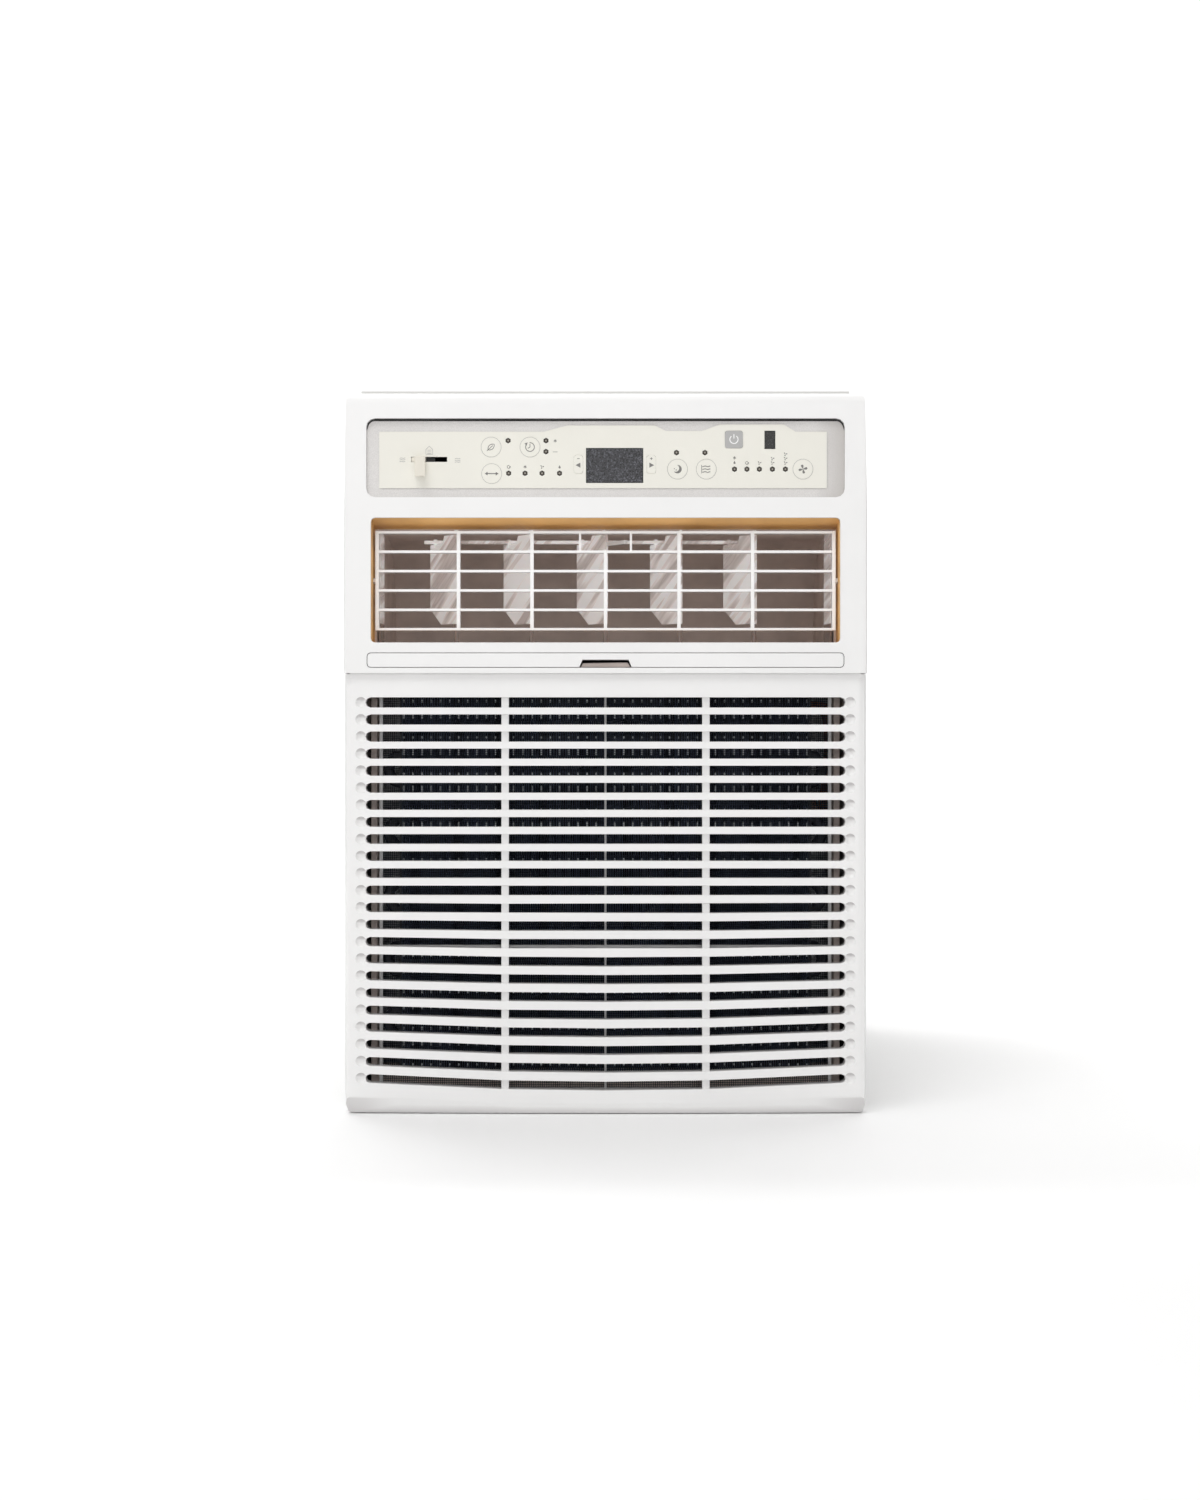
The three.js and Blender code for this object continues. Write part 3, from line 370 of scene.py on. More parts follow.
RUBBER = plain_finish(
    "black_rubber", (0.018, 0.018, 0.018), 0.7, grain=700, bump=0.3, vary=0.2
).material
NET = plain_finish(
    "net_thread", (0.048, 0.058, 0.084), 0.55, grain=2000, bump=0.4, vary=0.25
).material
COIL_FIN = plain_finish(
    "coated_fin", (0.16, 0.2, 0.3), 0.4, grain=900, bump=0.3, vary=0.3, metallic=0.5
).material
COIL_END = plain_finish(
    "coated_end", (0.06, 0.062, 0.065), 0.45, grain=700, bump=0.2, vary=0.2, metallic=0.4
).material
BARE_FIN = plain_finish(
    "bare_fin", (0.62, 0.63, 0.64), 0.38, grain=900, bump=0.3, vary=0.08, metallic=0.85
).material
COPPER = plain_finish(
    "drawn_copper", (0.62, 0.3, 0.17), 0.3, grain=600, bump=0.15, vary=0.18, cloud=30, metallic=0.95
).material
# Bright tab colour: painted highlights standing in for the glints on the evaporator tubes.
GLINT_TAB = plain_finish(
    "fin_tab_painted_glint", (0.9, 0.92, 0.96), 0.35, grain=600, bump=0.1, vary=0.08, metallic=0.2
).material
PRINT = plain_finish(
    "grey_print", (0.21, 0.205, 0.195), 0.5, grain=1600, bump=0.1, vary=0.05
).material
PALE_PRINT = plain_finish(
    "pale_print", (0.5, 0.49, 0.47), 0.5, grain=1600, bump=0.1, vary=0.03
).material
LENS = plain_finish(
    "lamp_lens", (0.045, 0.038, 0.03), 0.22, grain=900, bump=0.05, vary=0.15
).material
LENS_CORE = plain_finish(
    "lamp_core", (0.3, 0.27, 0.23), 0.3, grain=900, bump=0.05, vary=0.15
).material
SWEEP = plain_finish(
    "sweep_paper", (0.93, 0.93, 0.93), 0.75, grain=90, bump=0.02, vary=0.005, cloud=2
).material
WHITE_PRINT = plain_finish(
    "white_print", (0.92, 0.92, 0.92), 0.5, grain=1600, bump=0.1, vary=0.02
).material

NODE_FINISH = {
    WHITE: "front_panel filter_handle filter_frame vent_shutter",
    GRID_WHITE_LIT: "louvre_grid vane_lever",
    SILVER: "control_bezel",
    LEVER: "vent_lever",
    KEY_GREY: "key_power",
    CREAM: "control_overlay key_eco key_timer key_mode key_temp_down key_temp_up key_sleep key_swing "
    "key_fan",
    SMOKED: "display_window",
    DARK_WINDOW: "infrared_window",
    BOARD: "control_board",
    OCHRE: "outlet_liner",
    FOAM_BROWN: "air_duct drain_pan",
    FOAM_WHITE: "blower_scroll",
    VANE: "vane_1 vane_2 vane_3 vane_4 vane_5 vane_link_bar",
    POWDER: "cabinet_wrapper rear_grille top_rail",
    ZINC: "base_pan bulkhead motor_bracket electrical_box fan_motor swing_motor run_capacitor "
    "condenser_end_left condenser_end_right",
    STEEL_BAR: "motor_shaft",
    BLACK: "blower_wheel condenser_fan fan_shroud vent_rod",
    ENAMEL: "compressor accumulator",
    COPPER: "suction_line discharge_line capillary_line",
    RUBBER: "cord_bush",
    COIL_END: "evaporator_end_left evaporator_end_right",
    NET: "filter_mesh",
    COIL_FIN: "evaporator_fins",
    BARE_FIN: "condenser_fins",
}


def finish_nodes():
    for material, names in NODE_FINISH.items():
        for name in names.split():
            NODES[name].data.materials.clear()
            NODES[name].data.materials.append(material)


# ------------------------------------------------------------------ small shapes
def at(depth):
    """Y, in metres, of the plane this many millimetres behind the front face."""
    return FACE_Y + depth * MM


def loft(bm, loops, closed=False):
    """Joins loops of points, all with the same count, into a skin, with capped ends unless it is closed."""
    made = [[bm.verts.new(point) for point in loop] for loop in loops]
    pairs = list(zip(made, made[1:]))
    if closed:
        pairs.append((made[-1], made[0]))
    else:
        bm.faces.new(reversed(made[0]))
        bm.faces.new(made[-1])
    for one, two in pairs:
        for i in range(len(one)):
            j = (i + 1) % len(one)
            bm.faces.new((one[i], one[j], two[j], two[i]))


def arc(radius, start, end, steps=12, x=0, z=0):
    """Points on a circle in X and Z, angles in degrees from +X towards +Z."""
    angles = [math.radians(start + (end - start) * i / steps) for i in range(steps + 1)]
    return [(x + radius * math.cos(a), z + radius * math.sin(a)) for a in angles]


def flat(bm, outline, near, far):
    """A plate with this outline in X and Z, in millimetres, from one Y to another."""
    loft(bm, [[(x * MM, y, z * MM) for x, z in outline] for y in (near, far)])


def stroke(bm, path, width, near, far, closed=False):
    """A line of this width along a path in X and Z. The width may be a list with one width per point."""
    points = [Vector(p) for p in path]
    last = len(points) - 1
    loops = []
    for i, point in enumerate(points):
        before = points[i - 1] if closed or i > 0 else point
        after = points[(i + 1) % len(points)] if closed or i < last else point
        along = (after - before).normalized()
        half = (width[i] if isinstance(width, list) else width) / 2
        side = Vector((-along.y, along.x)) * half
        one, two = point + side, point - side
        corners = ((one, near), (two, near), (two, far), (one, far))
        loops.append([(p.x * MM, y, p.y * MM) for p, y in corners])
    loft(bm, loops, closed)


def turned(bm, profile, centre, axis, steps=12):
    """Turns a profile of (radius, height) in millimetres round an axis through a centre in metres."""
    turn = Vector((0, 0, 1)).rotation_difference(Vector(axis)).to_matrix()
    loops = []
    for radius, height in profile:
        loop = []
        for i in range(steps):
            angle = math.tau * i / steps
            local = Vector((radius * math.cos(angle), radius * math.sin(angle), height)) * MM
            loop.append(turn @ local + Vector(centre))
        loops.append(loop)
    loft(bm, loops)


def rounded(x0, x1, z0, z1, radius, steps=4):
    """Outline of a rounded rectangle."""
    corners = ((x1, z1, 0), (x0, z1, 90), (x0, z0, 180), (x1, z0, 270))
    points = []
    for x, z, start in corners:
        cx = x - radius if x == x1 else x + radius
        cz = z - radius if z == z1 else z + radius
        points += arc(radius, start, start + 90, steps, cx, cz)
    return points


def hollow(bm, inner, outer, near, far):
    """A flat ring between two outlines with the same count of points."""
    loops = []
    for (a, b), (c, d) in zip(inner, outer):
        corners = ((a, near, b), (c, near, d), (c, far, d), (a, far, b))
        loops.append([(x * MM, y, z * MM) for x, y, z in corners])
    loft(bm, loops, True)


# ------------------------------------------------------------------ edges and pieces
def smooth(piece, degrees=40):
    """Shades smoothly, apart from edges sharper than this."""
    mesh = piece.data
    mesh.polygons.foreach_set("use_smooth", [True] * len(mesh.polygons))
    split = piece.modifiers.new("split", "EDGE_SPLIT")
    split.split_angle = math.radians(degrees)
    normals = piece.modifiers.new("normals", "WEIGHTED_NORMAL")
    normals.mode = "FACE_AREA"
    normals.weight = 60


def soften(piece, width, segments=2, angle=32):
    """Rounds a piece's sharp edges with modifiers, which leave its own mesh alone."""
    weld = piece.modifiers.new("weld", "WELD")
    weld.merge_threshold = WELD_GAP
    flatten = piece.modifiers.new("flatten", "DECIMATE")
    flatten.decimate_type = "DISSOLVE"
    flatten.angle_limit = math.radians(0.6)
    bevel = piece.modifiers.new("bevel", "BEVEL")
    bevel.width = width
    bevel.segments = segments
    bevel.limit_method = "ANGLE"
    bevel.angle_limit = math.radians(angle)
    smooth(piece)


def new_piece(name, shape, material, body, replaced=(), edge=0):
    """A visual piece from a mesh or a bmesh, riding on one of the frame's bodies."""
    mesh = shape
    if isinstance(shape, bmesh.types.BMesh):
        bmesh.ops.recalc_face_normals(shape, faces=shape.faces)
        mesh = bpy.data.meshes.new(name)
        shape.to_mesh(mesh)
        shape.free()
    piece = bpy.data.objects.new(name, mesh)
    bpy.context.scene.collection.objects.link(piece)
    mesh.materials.clear()
    mesh.materials.append(material)
    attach(piece, body)
    if replaced:
        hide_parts(*replaced)
    if edge:
        soften(piece, edge)
    return piece


def carved(mesh, cutters):
    """A copy of a mesh with a bmesh of cutters taken out of it."""
    tool_mesh = bpy.data.meshes.new("cutter")
    bmesh.ops.recalc_face_normals(cutters, faces=cutters.faces)
    cutters.to_mesh(tool_mesh)
    cutters.free()
    tool = bpy.data.objects.new("cutter", tool_mesh)
    whole = bpy.data.objects.new("whole", mesh.copy())
    for thing in (tool, whole):
        bpy.context.scene.collection.objects.link(thing)
    weld = whole.modifiers.new("weld", "WELD")
    weld.merge_threshold = WELD_GAP
    cut = whole.modifiers.new("cut", "BOOLEAN")
    cut.operation = "DIFFERENCE"
    cut.object = tool
    cut.solver = "EXACT"
    graph = bpy.context.evaluated_depsgraph_get()
    made = bpy.data.meshes.new_from_object(whole.evaluated_get(graph))
    for thing in (tool, whole):
        bpy.data.objects.remove(thing)
    return made


EDGE_WIDTH = {
    0.5 * MM: "front_panel filter_handle",
    0.4 * MM: "louvre_grid cabinet_wrapper base_pan",
    0.25 * MM: "control_bezel outlet_liner vent_lever vane_lever key_power filter_frame top_rail "
    "vane_1 vane_2 vane_3 vane_4 vane_5 vane_link_bar electrical_box motor_bracket bulkhead vent_shutter",
    0.12 * MM: "key_eco key_timer key_mode key_temp_down key_temp_up key_sleep key_swing key_fan "
    "control_overlay display_window infrared_window",
    0.8 * MM: "air_duct blower_scroll fan_shroud drain_pan swing_motor",
}
ROUND_NODES = (
    "vent_rod motor_shaft blower_wheel condenser_fan fan_motor compressor accumulator suction_line "
    "discharge_line capillary_line run_capacitor cord_bush evaporator_end_left evaporator_end_right "
    "condenser_end_left condenser_end_right control_board"
)


def soften_nodes():
    for width, names in EDGE_WIDTH.items():
        for name in names.split():
            soften(NODES[name], width)
    for name in ROUND_NODES.split():
        smooth(NODES[name])


# ------------------------------------------------------------------ intake grille
SLOT_PITCH = 12.09
SLOT_TOP_CENTRE = 291.7
SLOT_COUNT = 23
GRILLE_FACE = 4
DISH_BALL = 4.2
DISH_REACH = 3.9
DISH_X = 173.1


def intake_grille():
    """The CAD grille with a shallow thumb-print dish pressed beyond both ends of every slot."""
    rise = math.sqrt(DISH_BALL ** 2 - DISH_REACH ** 2)
    angle = math.asin(DISH_REACH / DISH_BALL) * 1.25
    cap = []
    for step in range(7):
        a = angle * step / 6
        cap.append((max(DISH_BALL * math.sin(a), 0.02), rise - DISH_BALL * math.cos(a)))
    cap.append((cap[-1][0], 3))
    cutters = bmesh.new()
    for i in range(SLOT_COUNT):
        z = (SLOT_TOP_CENTRE - i * SLOT_PITCH) * MM
        for x in (-DISH_X * MM, DISH_X * MM):
            turned(cutters, cap, (x, at(GRILLE_FACE), z), (0, -1, 0), 20)
    mesh = carved(NODES["intake_grille"].data, cutters)
    new_piece("grille_moulding", mesh, WHITE, "housing", ["intake_grille"], 0.75 * MM)


# ------------------------------------------------------------------ filter net and coils
NET_PITCH = 1.55 * MM
THREAD_RADIUS = 0.16 * MM
FIN_THICKNESS = 0.22 * MM
TUBE_RADIUS = 3.4


def strand(bm, start, end, radius):
    """A thin thread with four sides."""
    along = (end - start).normalized()
    up = Vector((0, 1, 0))
    side = along.cross(up)
    ring = [up * radius, side * radius, -up * radius, -side * radius]
    loft(bm, [[point + r for r in ring] for point in (start, end)])


def filter_net():
    """Upright threads in front, level threads just behind them."""
    low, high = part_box("filter_mesh")
    bm = bmesh.new()
    columns = int((high.x - low.x) / NET_PITCH)
    rows = int((high.z - low.z) / NET_PITCH)
    middle = (low.y + high.y) / 2
    front, back = middle - 0.1 * MM, middle + 0.1 * MM
    for i in range(columns + 1):
        x = low.x + (high.x - low.x) * i / columns
        strand(bm, Vector((x, front, low.z)), Vector((x, front, high.z)), THREAD_RADIUS)
    for i in range(rows + 1):
        z = low.z + (high.z - low.z) * i / rows
        strand(bm, Vector((low.x, back, z)), Vector((high.x, back, z)), THREAD_RADIUS)
    new_piece("filter_net", bm, NET, "filter", ["filter_mesh"])


def fin_pack(name, node, pitch, rows, materials):
    """Thin fins in a block, on rows of tubes. Each row is a depth, as a share of the block,
    its heights, and the spacing and half height of the bright tab marks in front of it,
    which are painted highlights for the glints on the tubes."""
    low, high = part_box(node)
    count = round((high.x - low.x) / (pitch * MM))
    fins = bmesh.new()
    for i in range(count + 1):
        x = low.x + (high.x - low.x - 0.3 * MM) * i / count
        lean = 0.25 * MM * math.sin(i * 1.7)
        corners = [(low.y, low.z), (high.y, low.z), (high.y, high.z), (low.y, high.z)]
        sides = []
        for offset in (0, FIN_THICKNESS):
            shift = [min(max(x + offset + lean * (z > low.z), low.x), high.x) for y, z in corners]
            sides.append([(sx, y, z) for sx, (y, z) in zip(shift, corners)])
        loft(fins, sides)
    new_piece(name, fins, materials[0], "housing", [node])
    tubes, glint_tabs = bmesh.new(), bmesh.new()
    for share, heights, spacing, tall in rows:
        y = low.y + (high.y - low.y) * share
        for z in heights:
            ends = [(TUBE_RADIUS, low.x / MM), (TUBE_RADIUS, high.x / MM)]
            turned(tubes, ends, (0, y, z * MM), (1, 0, 0), 12)
            steps = int((high.x - low.x) / (spacing * MM)) if spacing else -1
            for k in range(steps + 1):
                x = (k - steps / 2) * spacing
                # Each bright tab mark is a painted highlight for a glint on the tube behind it.
                nub = [(x - 0.55, z - tall), (x, z - tall - 0.5), (x + 0.55, z - tall)]
                nub += [(x + 0.55, z + tall), (x, z + tall + 0.5), (x - 0.55, z + tall)]
                flat(glint_tabs, nub, low.y + 0.02 * MM, low.y + 1.2 * MM)
    smooth(new_piece(name + "_tubes", tubes, materials[1], "housing"))
    if len(glint_tabs.verts):
        new_piece(name + "_tabs", glint_tabs, GLINT_TAB, "housing")
    else:
        glint_tabs.free()


def coils():
    front_row = [293.2 - 26.15 * i for i in range(11)]
    second_row = [282.6 - 26.15 * i for i in range(10)]
    fin_pack("evaporator_coil", "evaporator_fins", 1.65,
             [(0.2, front_row, 6.6, 0.7), (0.6, second_row, 6.6, 1.8)], (COIL_FIN, COIL_END))
    condenser_rows = [40 + 25.4 * i for i in range(18)]
    fin_pack("condenser_coil", "condenser_fins", 2.0,
             [(0.25, condenser_rows, 0, 0), (0.75, [z + 12.7 for z in condenser_rows[:-1]], 0, 0)],
             (BARE_FIN, COPPER))


# ------------------------------------------------------------------ control film prints
KEY_CENTRES = {
    "eco": (-80.9, 472.2), "timer": (-53.4, 472.2), "mode": (-80.5, 453.4), "sleep": (50.9, 456.6),
    "swing": (71.3, 456.6), "fan": (139.6, 456.6), "power": (90.8, 477.6),
    "temp_down": (-19.2, 460), "temp_up": (32.4, 460),
}
LEDS = [
    (-68.9, 476.8), (-42.1, 476.8), (-42.1, 469), (-68.5, 453.7), (-56.9, 453.7), (-44.9, 453.7),
    (-32.5, 453.7), (50.2, 468.3), (70.3, 468.3), (91.2, 456.6), (100, 456.6), (108.8, 456.6),
    (118, 456.6), (127.2, 456.6),
]
# Depths behind the front face, in millimetres: the film, the key caps, and how far the ink stands out.
FILM = 2.8
CAP = 2.6
INK = 0.07


def moved(path, x, z, scale=1, turn=0):
    """A path scaled, turned by some degrees and shifted."""
    c, s = math.cos(math.radians(turn)), math.sin(math.radians(turn))
    return [(x + scale * (a * c - b * s), z + scale * (a * s + b * c)) for a, b in path]


def leaf():
    """A leaf's outline and its stalk, as lines."""
    side = [(-3 + 6 * i / 8, 1.7 * math.sin(math.pi * i / 8) ** 0.8) for i in range(9)]
    outline = side + [(a, -b) for a, b in reversed(side[1:-1])]
    return [(outline, 0.36, True), ([(-4, 0), (1.6, 0)], 0.36, False)]


def petals(count, size):
    """Fan blades: one leaning petal for each."""
    blade = [(0.25, 0), (0.9, 0.75), (2, 1.2), (2.6, 0.5), (2.1, -0.25), (1, -0.25)]
    return [moved(blade, 0, 0, size, 360 * i / count) for i in range(count)]


# Each icon is (lines, filled shapes) about the key's centre; a line is (path, width, closed).
ICONS = {
    "eco": ([(moved(path, 0, 0, 1, 42), w, c) for path, w, c in leaf()], []),
    "timer": (
        [(arc(3.1, 150, 455, 18), 0.45, False), ([(0, 2.1), (0, 0), (-1.5, -0.9)], 0.4, False)],
        [[(-3.9, 2.4), (-1.7, 3.3), (-2.3, 1.1)]],
    ),
    "mode": (
        [([(-3.4, 0), (3.4, 0)], 0.5, False)],
        [[(-4.9, 0), (-2.9, 1.3), (-2.9, -1.3)], [(4.9, 0), (2.9, -1.3), (2.9, 1.3)]],
    ),
    "sleep": (
        [],
        [arc(3, -149, 99, 16) + arc(2.5, 70.6, -120.6, 14, -1.3, 0.6)[1:-1], arc(0.4, 0, 300, 5, -2.2, 0.3),
         arc(0.4, 0, 300, 5, -0.9, -0.6)],
    ),
    "swing": (
        [(moved([(-2.8, 0), (-1, 0.5), (1, 0), (2.8, 0.5)], 0, z), 0.45, False) for z in (-2.3, -0.3, 1.7)]
        + [([(-3.3, -3), (-3.3, 2.8)], 0.35, False)],
        [],
    ),
    "fan": ([], petals(4, 1.25) + [arc(0.45, 0, 330, 7)]),
    "power": ([(arc(2.9, 126, 414, 18), 0.55, False), ([(0, 0.6), (0, 3.7)], 0.55, False)], []),
    "temp_down": ([([(-0.9, 4), (0.9, 4)], 0.35, False)], [[(-2, -0.6), (1.4, 1.2), (1.4, -2.4)]]),
    "temp_up": (
        [([(-0.9, 4), (0.9, 4)], 0.35, False), ([(0, 3.1), (0, 4.9)], 0.35, False)],
        [[(2, -0.6), (-1.4, -2.4), (-1.4, 1.2)]],
    ),
}


def key_icons():
    near, far = at(CAP - INK), at(CAP + 0.05)
    for key, (lines, fills) in ICONS.items():
        cx, cz = KEY_CENTRES[key]
        bm = bmesh.new()
        for path, width, closed in lines:
            stroke(bm, moved(path, cx, cz), width * 1.3, near, far, closed)
        for outline in fills:
            flat(bm, moved(outline, cx, cz), near, far)
        ink = WHITE_PRINT if key == "power" else PRINT
        new_piece(f"icon_{key}", bm, ink, f"key_{key}_body")


def key_membranes():
    """A soft web closes the gap round every key, set back a little from the film."""
    near, far = at(FILM + 0.12), at(FILM + 0.5)
    rings, webs = bmesh.new(), bmesh.new()
    for key, (x, z) in KEY_CENTRES.items():
        if key in ("power", "temp_down", "temp_up"):
            half, tall = (6.35, 6.2) if key == "power" else (3.2, 6.5)
            outlines = []
            for g in (0.04, 0.34):
                outlines.append(rounded(x - half - g, x + half + g, z - tall - g, z + tall + g, 1.8))
            hollow(webs, *outlines, near, far)
        else:
            hollow(rings, *[arc(r, 0, 354, 59, x, z) for r in (6.91, 7.3)], near, far)
    new_piece("key_web_rings", rings, PALE_PRINT, "housing")
    new_piece("key_webs", webs, CREAM, "housing")


def lamp_lenses():
    """A dark lens with a pale core in the end of every light guide."""
    lens = [(1.95, -0.2), (1.95, 0.05), (1.6, 0.24), (1.1, 0.3), (0.6, 0.3)]
    core = [(0.62, 0.1), (0.6, 0.3), (0.4, 0.38), (0.12, 0.42)]
    lenses, cores = bmesh.new(), bmesh.new()
    for x, z in LEDS:
        centre = (x * MM, at(3.02), z * MM)
        turned(lenses, lens, centre, (0, -1, 0), 20)
        turned(cores, core, centre, (0, -1, 0), 12)
    smooth(new_piece("lamp_lenses", lenses, LENS, "housing"))
    smooth(new_piece("lamp_cores", cores, LENS_CORE, "housing"))


def small_mark(bm, kind, x, z, near, far):
    """A generic mark next to a lamp."""
    if kind == "cross":
        for turn in (90, 30, 150):
            stroke(bm, moved([(-0.95, 0), (0.95, 0)], x, z, 1.2, turn), 0.36, near, far)
    elif kind == "drop":
        flat(bm, arc(0.75, 160, 380, 8, x, z - 0.2) + [(x, z + 1.35)], near, far)
    elif kind == "dash":
        flat(bm, moved([(-1.7, -0.17), (1.7, -0.17), (1.7, 0.17), (-1.7, 0.17)], x, z), near, far)
    elif kind == "loop":
        stroke(bm, arc(1.05, 60, 380, 12, x, z), 0.4, near, far)
        flat(bm, moved([(0.3, -0.5), (1.6, -0.1), (0.8, 0.8)], x, z), near, far)
    elif kind == "fan":
        for blade in petals(3, 0.55):
            flat(bm, moved(blade, x, z), near, far)


def film_prints():
    near, far = at(FILM - INK), at(FILM + 0.05)
    marks = bmesh.new()
    for kind, x, z in (
        ("cross", -35.6, 476.6), ("dash", -35.6, 468.8), ("loop", -68.5, 458.2), ("cross", -56.9, 458.2),
        ("fan", -44.9, 458.2), ("drop", -32.5, 458), ("fan", 108.8, 461), ("fan", 118, 461),
        ("fan", 118, 464.1), ("fan", 127.2, 461), ("fan", 127.2, 464.1), ("fan", 127.2, 467.2),
        ("loop", 100, 461), ("drop", 91.2, 461.2), ("cross", 91.2, 464.6),
    ):
        small_mark(marks, kind, x, z, near, far)
    new_piece("film_marks", marks, PRINT, "housing")
    faint = bmesh.new()
    house = [(-2.4, -2.8), (-2.4, 0.6), (0, 3), (2.4, 0.6), (2.4, -2.8)]
    stroke(faint, moved(house, -124.6, 469.9), 0.42, near, far, True)
    for z in (467.6, 468.8, 470):
        stroke(faint, [(-126, z), (-123.2, z)], 0.36, near, far)
    for x, turn in ((-143.6, 0), (-104.6, 180)):
        for dz in (-1.2, 0, 1.2):
            wave = [(-2, dz), (-0.7, dz + 0.35), (0.7, dz), (2, dz + 0.35)]
            stroke(faint, moved(wave, x, 463, 1, turn), 0.42, near, far)
    new_piece("vent_marks", faint, PALE_PRINT, "housing")


def bezel_shadow_line():
    """A dark strip, painted shade for the shadow line where the top of the bezel meets the panel's opening,
    thinning down both sides.
    """
    bm = bmesh.new()
    edge, top, radius = 169, 492.2, 6.3
    corner = arc(radius - 0.6, 0, 90, 9, edge - radius, top - radius)
    right = [(edge - 0.15, 484.6)] + corner
    widths = [0.1] + [0.5 + 0.15 * i for i in range(10)]
    left = [(-x, z) for x, z in reversed(right)]
    stroke(bm, right + left, widths + widths[::-1], at(3.45), at(3.84))
    new_piece("bezel_shadow_line", bm, RUBBER, "housing")


def handle_gap_shadow():
    """Dark strips in the gap at both ends of the filter handle's strip: painted shade for the shadow in the
    gap.
    """
    half, low, high, radius = 168.425, 316.275, 326.625, 2.625
    path = arc(radius, 90, 0, 6, half - radius, high - radius)
    path += arc(radius, 0, -90, 6, half - radius, low + radius)
    widths = [0.08] + [0.32] * (len(path) - 2) + [0.08]
    bm = bmesh.new()
    for side in (1, -1):
        stroke(bm, [(side * x, z) for x, z in path], widths, at(0.12), at(1.4))
    new_piece("handle_gap_shadow", bm, RUBBER, "housing")


def slot_filler():
    """A strip on the vent lever that fills the slot to the knob's left."""
    bm = bmesh.new()
    flat(bm, rounded(-137.2, -134.2, 461.9, 465.1, 1), at(2.95), at(3.4))
    new_piece("vent_slot_strip", bm, LEVER, "vent_control")


def end_deflectors():
    """Clear plates that guide the air at both ends of the outlet, behind the louvre's swing."""
    plates = (("end_deflector_right", 162.3, 159.4), ("end_deflector_left", -162.6, -161.2))
    for name, front_x, back_x in plates:
        bm = bmesh.new()
        loops = []
        for z in (333.5, 336, 352, 372, 392, 410, 414):
            narrow = 1 if 336 <= z <= 410 else 0.8
            middle_x, middle_y = (front_x + back_x) / 2, 39.5
            half_x, half_y = (front_x - back_x) / 2 * narrow, 8.5 * narrow
            bow = 0.8 * math.sin((z - 333) / 12)
            corners = ((half_x - 0.6, -half_y), (half_x + 0.6, -half_y), (bow + 0.6, 0),
                       (0.6 - half_x, half_y), (-half_x - 0.6, half_y), (bow - 0.6, 0))
            loops.append([((middle_x + a) * MM, at(middle_y + b), z * MM) for a, b in corners])
        loft(bm, loops)
        smooth(new_piece(name, bm, VANE, "housing"), 50)


def notch_liner():
    """The back of the finger notch in the filter handle, with the small hole at its top."""
    outline = [(-17.8, 316.7), (17.8, 316.7), (13.4, 322.9), (-13.4, 322.9)]
    back = bmesh.new()
    flat(back, outline, at(5.2), at(6))
    new_piece("notch_back", back, FOAM_BROWN, "handle")
    hole = bmesh.new()
    rim = [(1, -0.1), (1, 0.1), (0.7, 0.18), (0.2, 0.2)]
    turned(hole, rim, (0, at(5.2), 321.4 * MM), (0, -1, 0), 12)
    smooth(new_piece("notch_dimple", hole, BLACK, "handle"))


# ------------------------------------------------------------------ cabinet pressings and fasteners
def hood(bm, place, length):
    """A pressed louvre over a slot. place(along, out, across) gives a point."""
    rise, reach, wall = 4.4, 7.8, 0.8
    loops = []
    for step in range(13):
        t = step / 12
        swell = max((1 - abs(2 * t - 1) ** 6), 0) ** 0.5
        loop = []
        for grow, order in ((0, range(7)), (wall, range(6, -1, -1))):
            for k in order:
                a = math.radians(15 * k)
                out = max((rise - grow) * swell, 0.02 * (grow == 0)) * math.sin(a)
                across = reach - (reach - grow) * math.cos(a)
                loop.append(place(length * t, out - 0.05 * (grow > 0), across))
        loops.append(loop)
    loft(bm, loops)


def side_place(side, y, top):
    """Places a hood on a side of the cabinet, opening downwards."""
    def place(along, out, across):
        return (side * (CABINET_SIDE - 0.05 + out) * MM, (y + along) * MM, (top - across) * MM)
    return place


def top_place(x, near):
    """Places a hood on the top of the cabinet, opening to the rear."""
    def place(along, out, across):
        return ((x + along) * MM, (near + across) * MM, (CABINET_TOP - 0.05 + out) * MM)
    return place


def cabinet_hoods():
    bm = bmesh.new()
    for side in (-1, 1):
        for row in range(8):
            for y in (38.5, 128.5):
                hood(bm, side_place(side, y, 117.4 + 34 * row), 73)
    for row in range(5):
        for x in (-121.5, 18.5):
            hood(bm, top_place(x, 58.6 + 26 * row), 103)
    smooth(new_piece("cabinet_hoods", bm, POWDER, "housing"), 50)


def screw_head():
    """A pan head with a cross recess, about the origin, standing up +Z."""
    head = bmesh.new()
    dome = [(3.6, 0), (3.75, 0.5), (3.4, 1.1), (2.6, 1.5), (1.5, 1.7), (0.2, 1.75)]
    turned(head, dome, (0, 0, 0), (0, 0, 1), 20)
    bmesh.ops.recalc_face_normals(head, faces=head.faces)
    mesh = bpy.data.meshes.new("head")
    head.to_mesh(mesh)
    head.free()
    cross = bmesh.new()
    loops = []
    for height, long, wide in ((0.45, 0.9, 0.3), (1.3, 1.9, 0.42), (2.4, 2.2, 0.5)):
        plus = []
        for quarter in range(4):
            for a, b in ((long, -wide), (long, wide), (wide, wide)):
                for turn in range(quarter):
                    a, b = -b, a
                plus.append(Vector((a, b, height)) * MM)
        loops.append(plus)
    loft(cross, loops)
    return carved(mesh, cross)


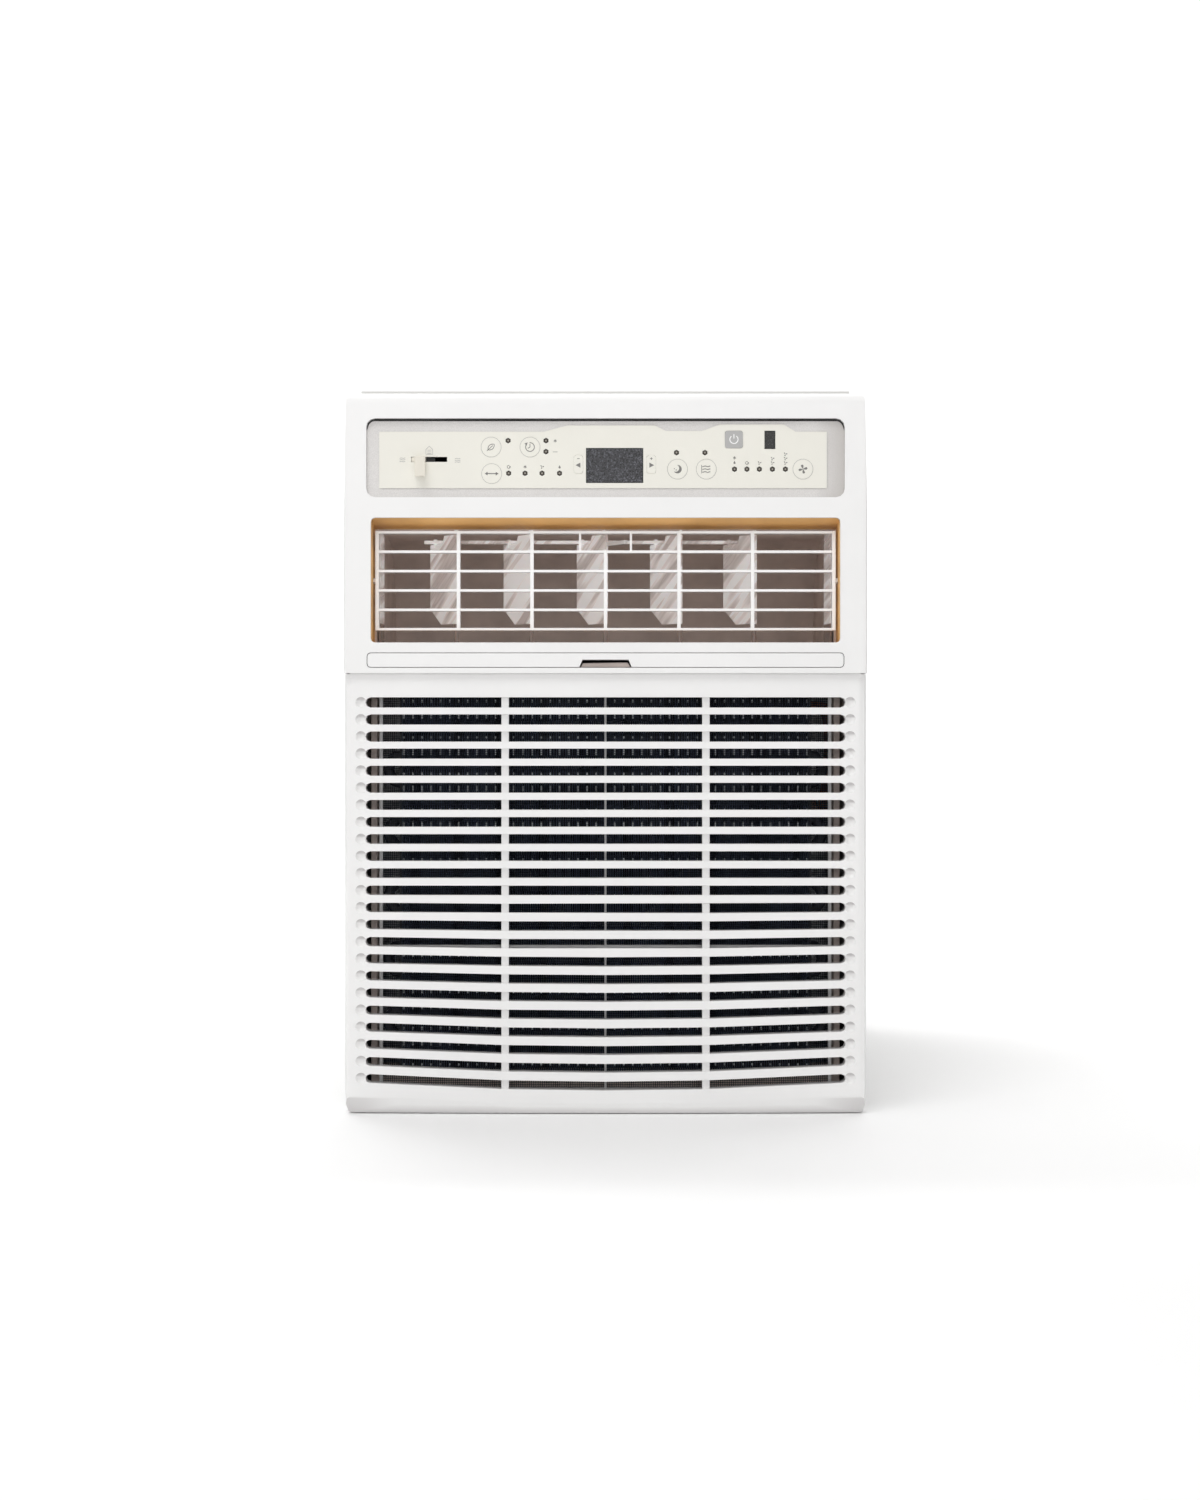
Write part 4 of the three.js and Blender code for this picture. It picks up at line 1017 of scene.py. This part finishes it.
def screws(name, places, head):
    """Copies of a screw head, each at (x, y, z, axis) in millimetres, with its cross turned its own way."""
    bm = bmesh.new()
    for x, y, z, axis in places:
        start = len(bm.verts)
        bm.from_mesh(head)
        bm.verts.ensure_lookup_table()
        turn = Vector((0, 0, 1)).rotation_difference(Vector(axis)).to_matrix().to_4x4()
        spin = Matrix.Rotation(math.radians((x * 7 + z * 3 + y) % 90), 4, "Z")
        matrix = Matrix.Translation(Vector((x, y, z)) * MM) @ turn @ spin
        bmesh.ops.transform(bm, matrix=matrix, verts=bm.verts[start:])
    smooth(new_piece(name, bm, ZINC, "housing"), 35)


def fasteners():
    side_spots = ((-212, 70), (-212, 255), (-212, 440), (-120, 14), (60, 14), (225, 14),
                  (252, 90), (252, 300), (252, 480))
    places = []
    for side in (-1, 1):
        for y, z in side_spots:
            places.append((side * (CABINET_SIDE - 0.02), y, z, (side, 0, 0)))
        for y in (60, 240):
            places.append((side * 160, y, CABINET_TOP - 0.02, (0, 0, 1)))
    for x in (-150, -50, 50, 150):
        places.append((x, -203, 506.78, (0, 0, 1)))
    screws("cabinet_screws", places, screw_head())


def rear_grille():
    """The CAD grille with rounded cell edges and six screws sunk in dimples, so that none stands out."""
    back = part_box("rear_grille")[1].y
    dimple = [(5.6, 1), (5.6, 0.02), (4.1, -1.15)]
    cutters = bmesh.new()
    spots = [(x, z) for x in (-166, 166) for z in (12, 256, 492)]
    for x, z in spots:
        turned(cutters, dimple, (x * MM, back, z * MM), (0, 1, 0), 24)
    mesh = carved(NODES["rear_grille"].data, cutters)
    new_piece("rear_guard", mesh, POWDER, "housing", ["rear_grille"], 0.3 * MM)
    screws("rear_screws", [(x, back / MM - 1.78, z, (0, 1, 0)) for x, z in spots], screw_head())


def make_floor():
    """A pale sweep that runs from the floor up into a wall."""
    bm = bmesh.new()
    profile = [(-4, 0), (1.2, 0)] + arc(1.3, -81, 0, 9, 1.2, 1.3) + [(2.5, 4.5)]
    rows = [[bm.verts.new((x, y, z - 0.0002)) for y, z in profile] for x in (-5, 5)]
    for i in range(len(profile) - 1):
        bm.faces.new((rows[0][i], rows[1][i], rows[1][i + 1], rows[0][i + 1]))
    mesh = bpy.data.meshes.new("sweep")
    bm.to_mesh(mesh)
    bm.free()
    mesh.polygons.foreach_set("use_smooth", [True] * len(mesh.polygons))
    sweep = bpy.data.objects.new("sweep", mesh)
    bpy.context.scene.collection.objects.link(sweep)
    mesh.materials.append(SWEEP)


make_camera()
make_studio()
finish_nodes()
soften_nodes()
intake_grille()
filter_net()
coils()
key_icons()
key_membranes()
lamp_lenses()
film_prints()
bezel_shadow_line()
handle_gap_shadow()
slot_filler()
end_deflectors()
notch_liner()
cabinet_hoods()
fasteners()
rear_grille()
make_floor()
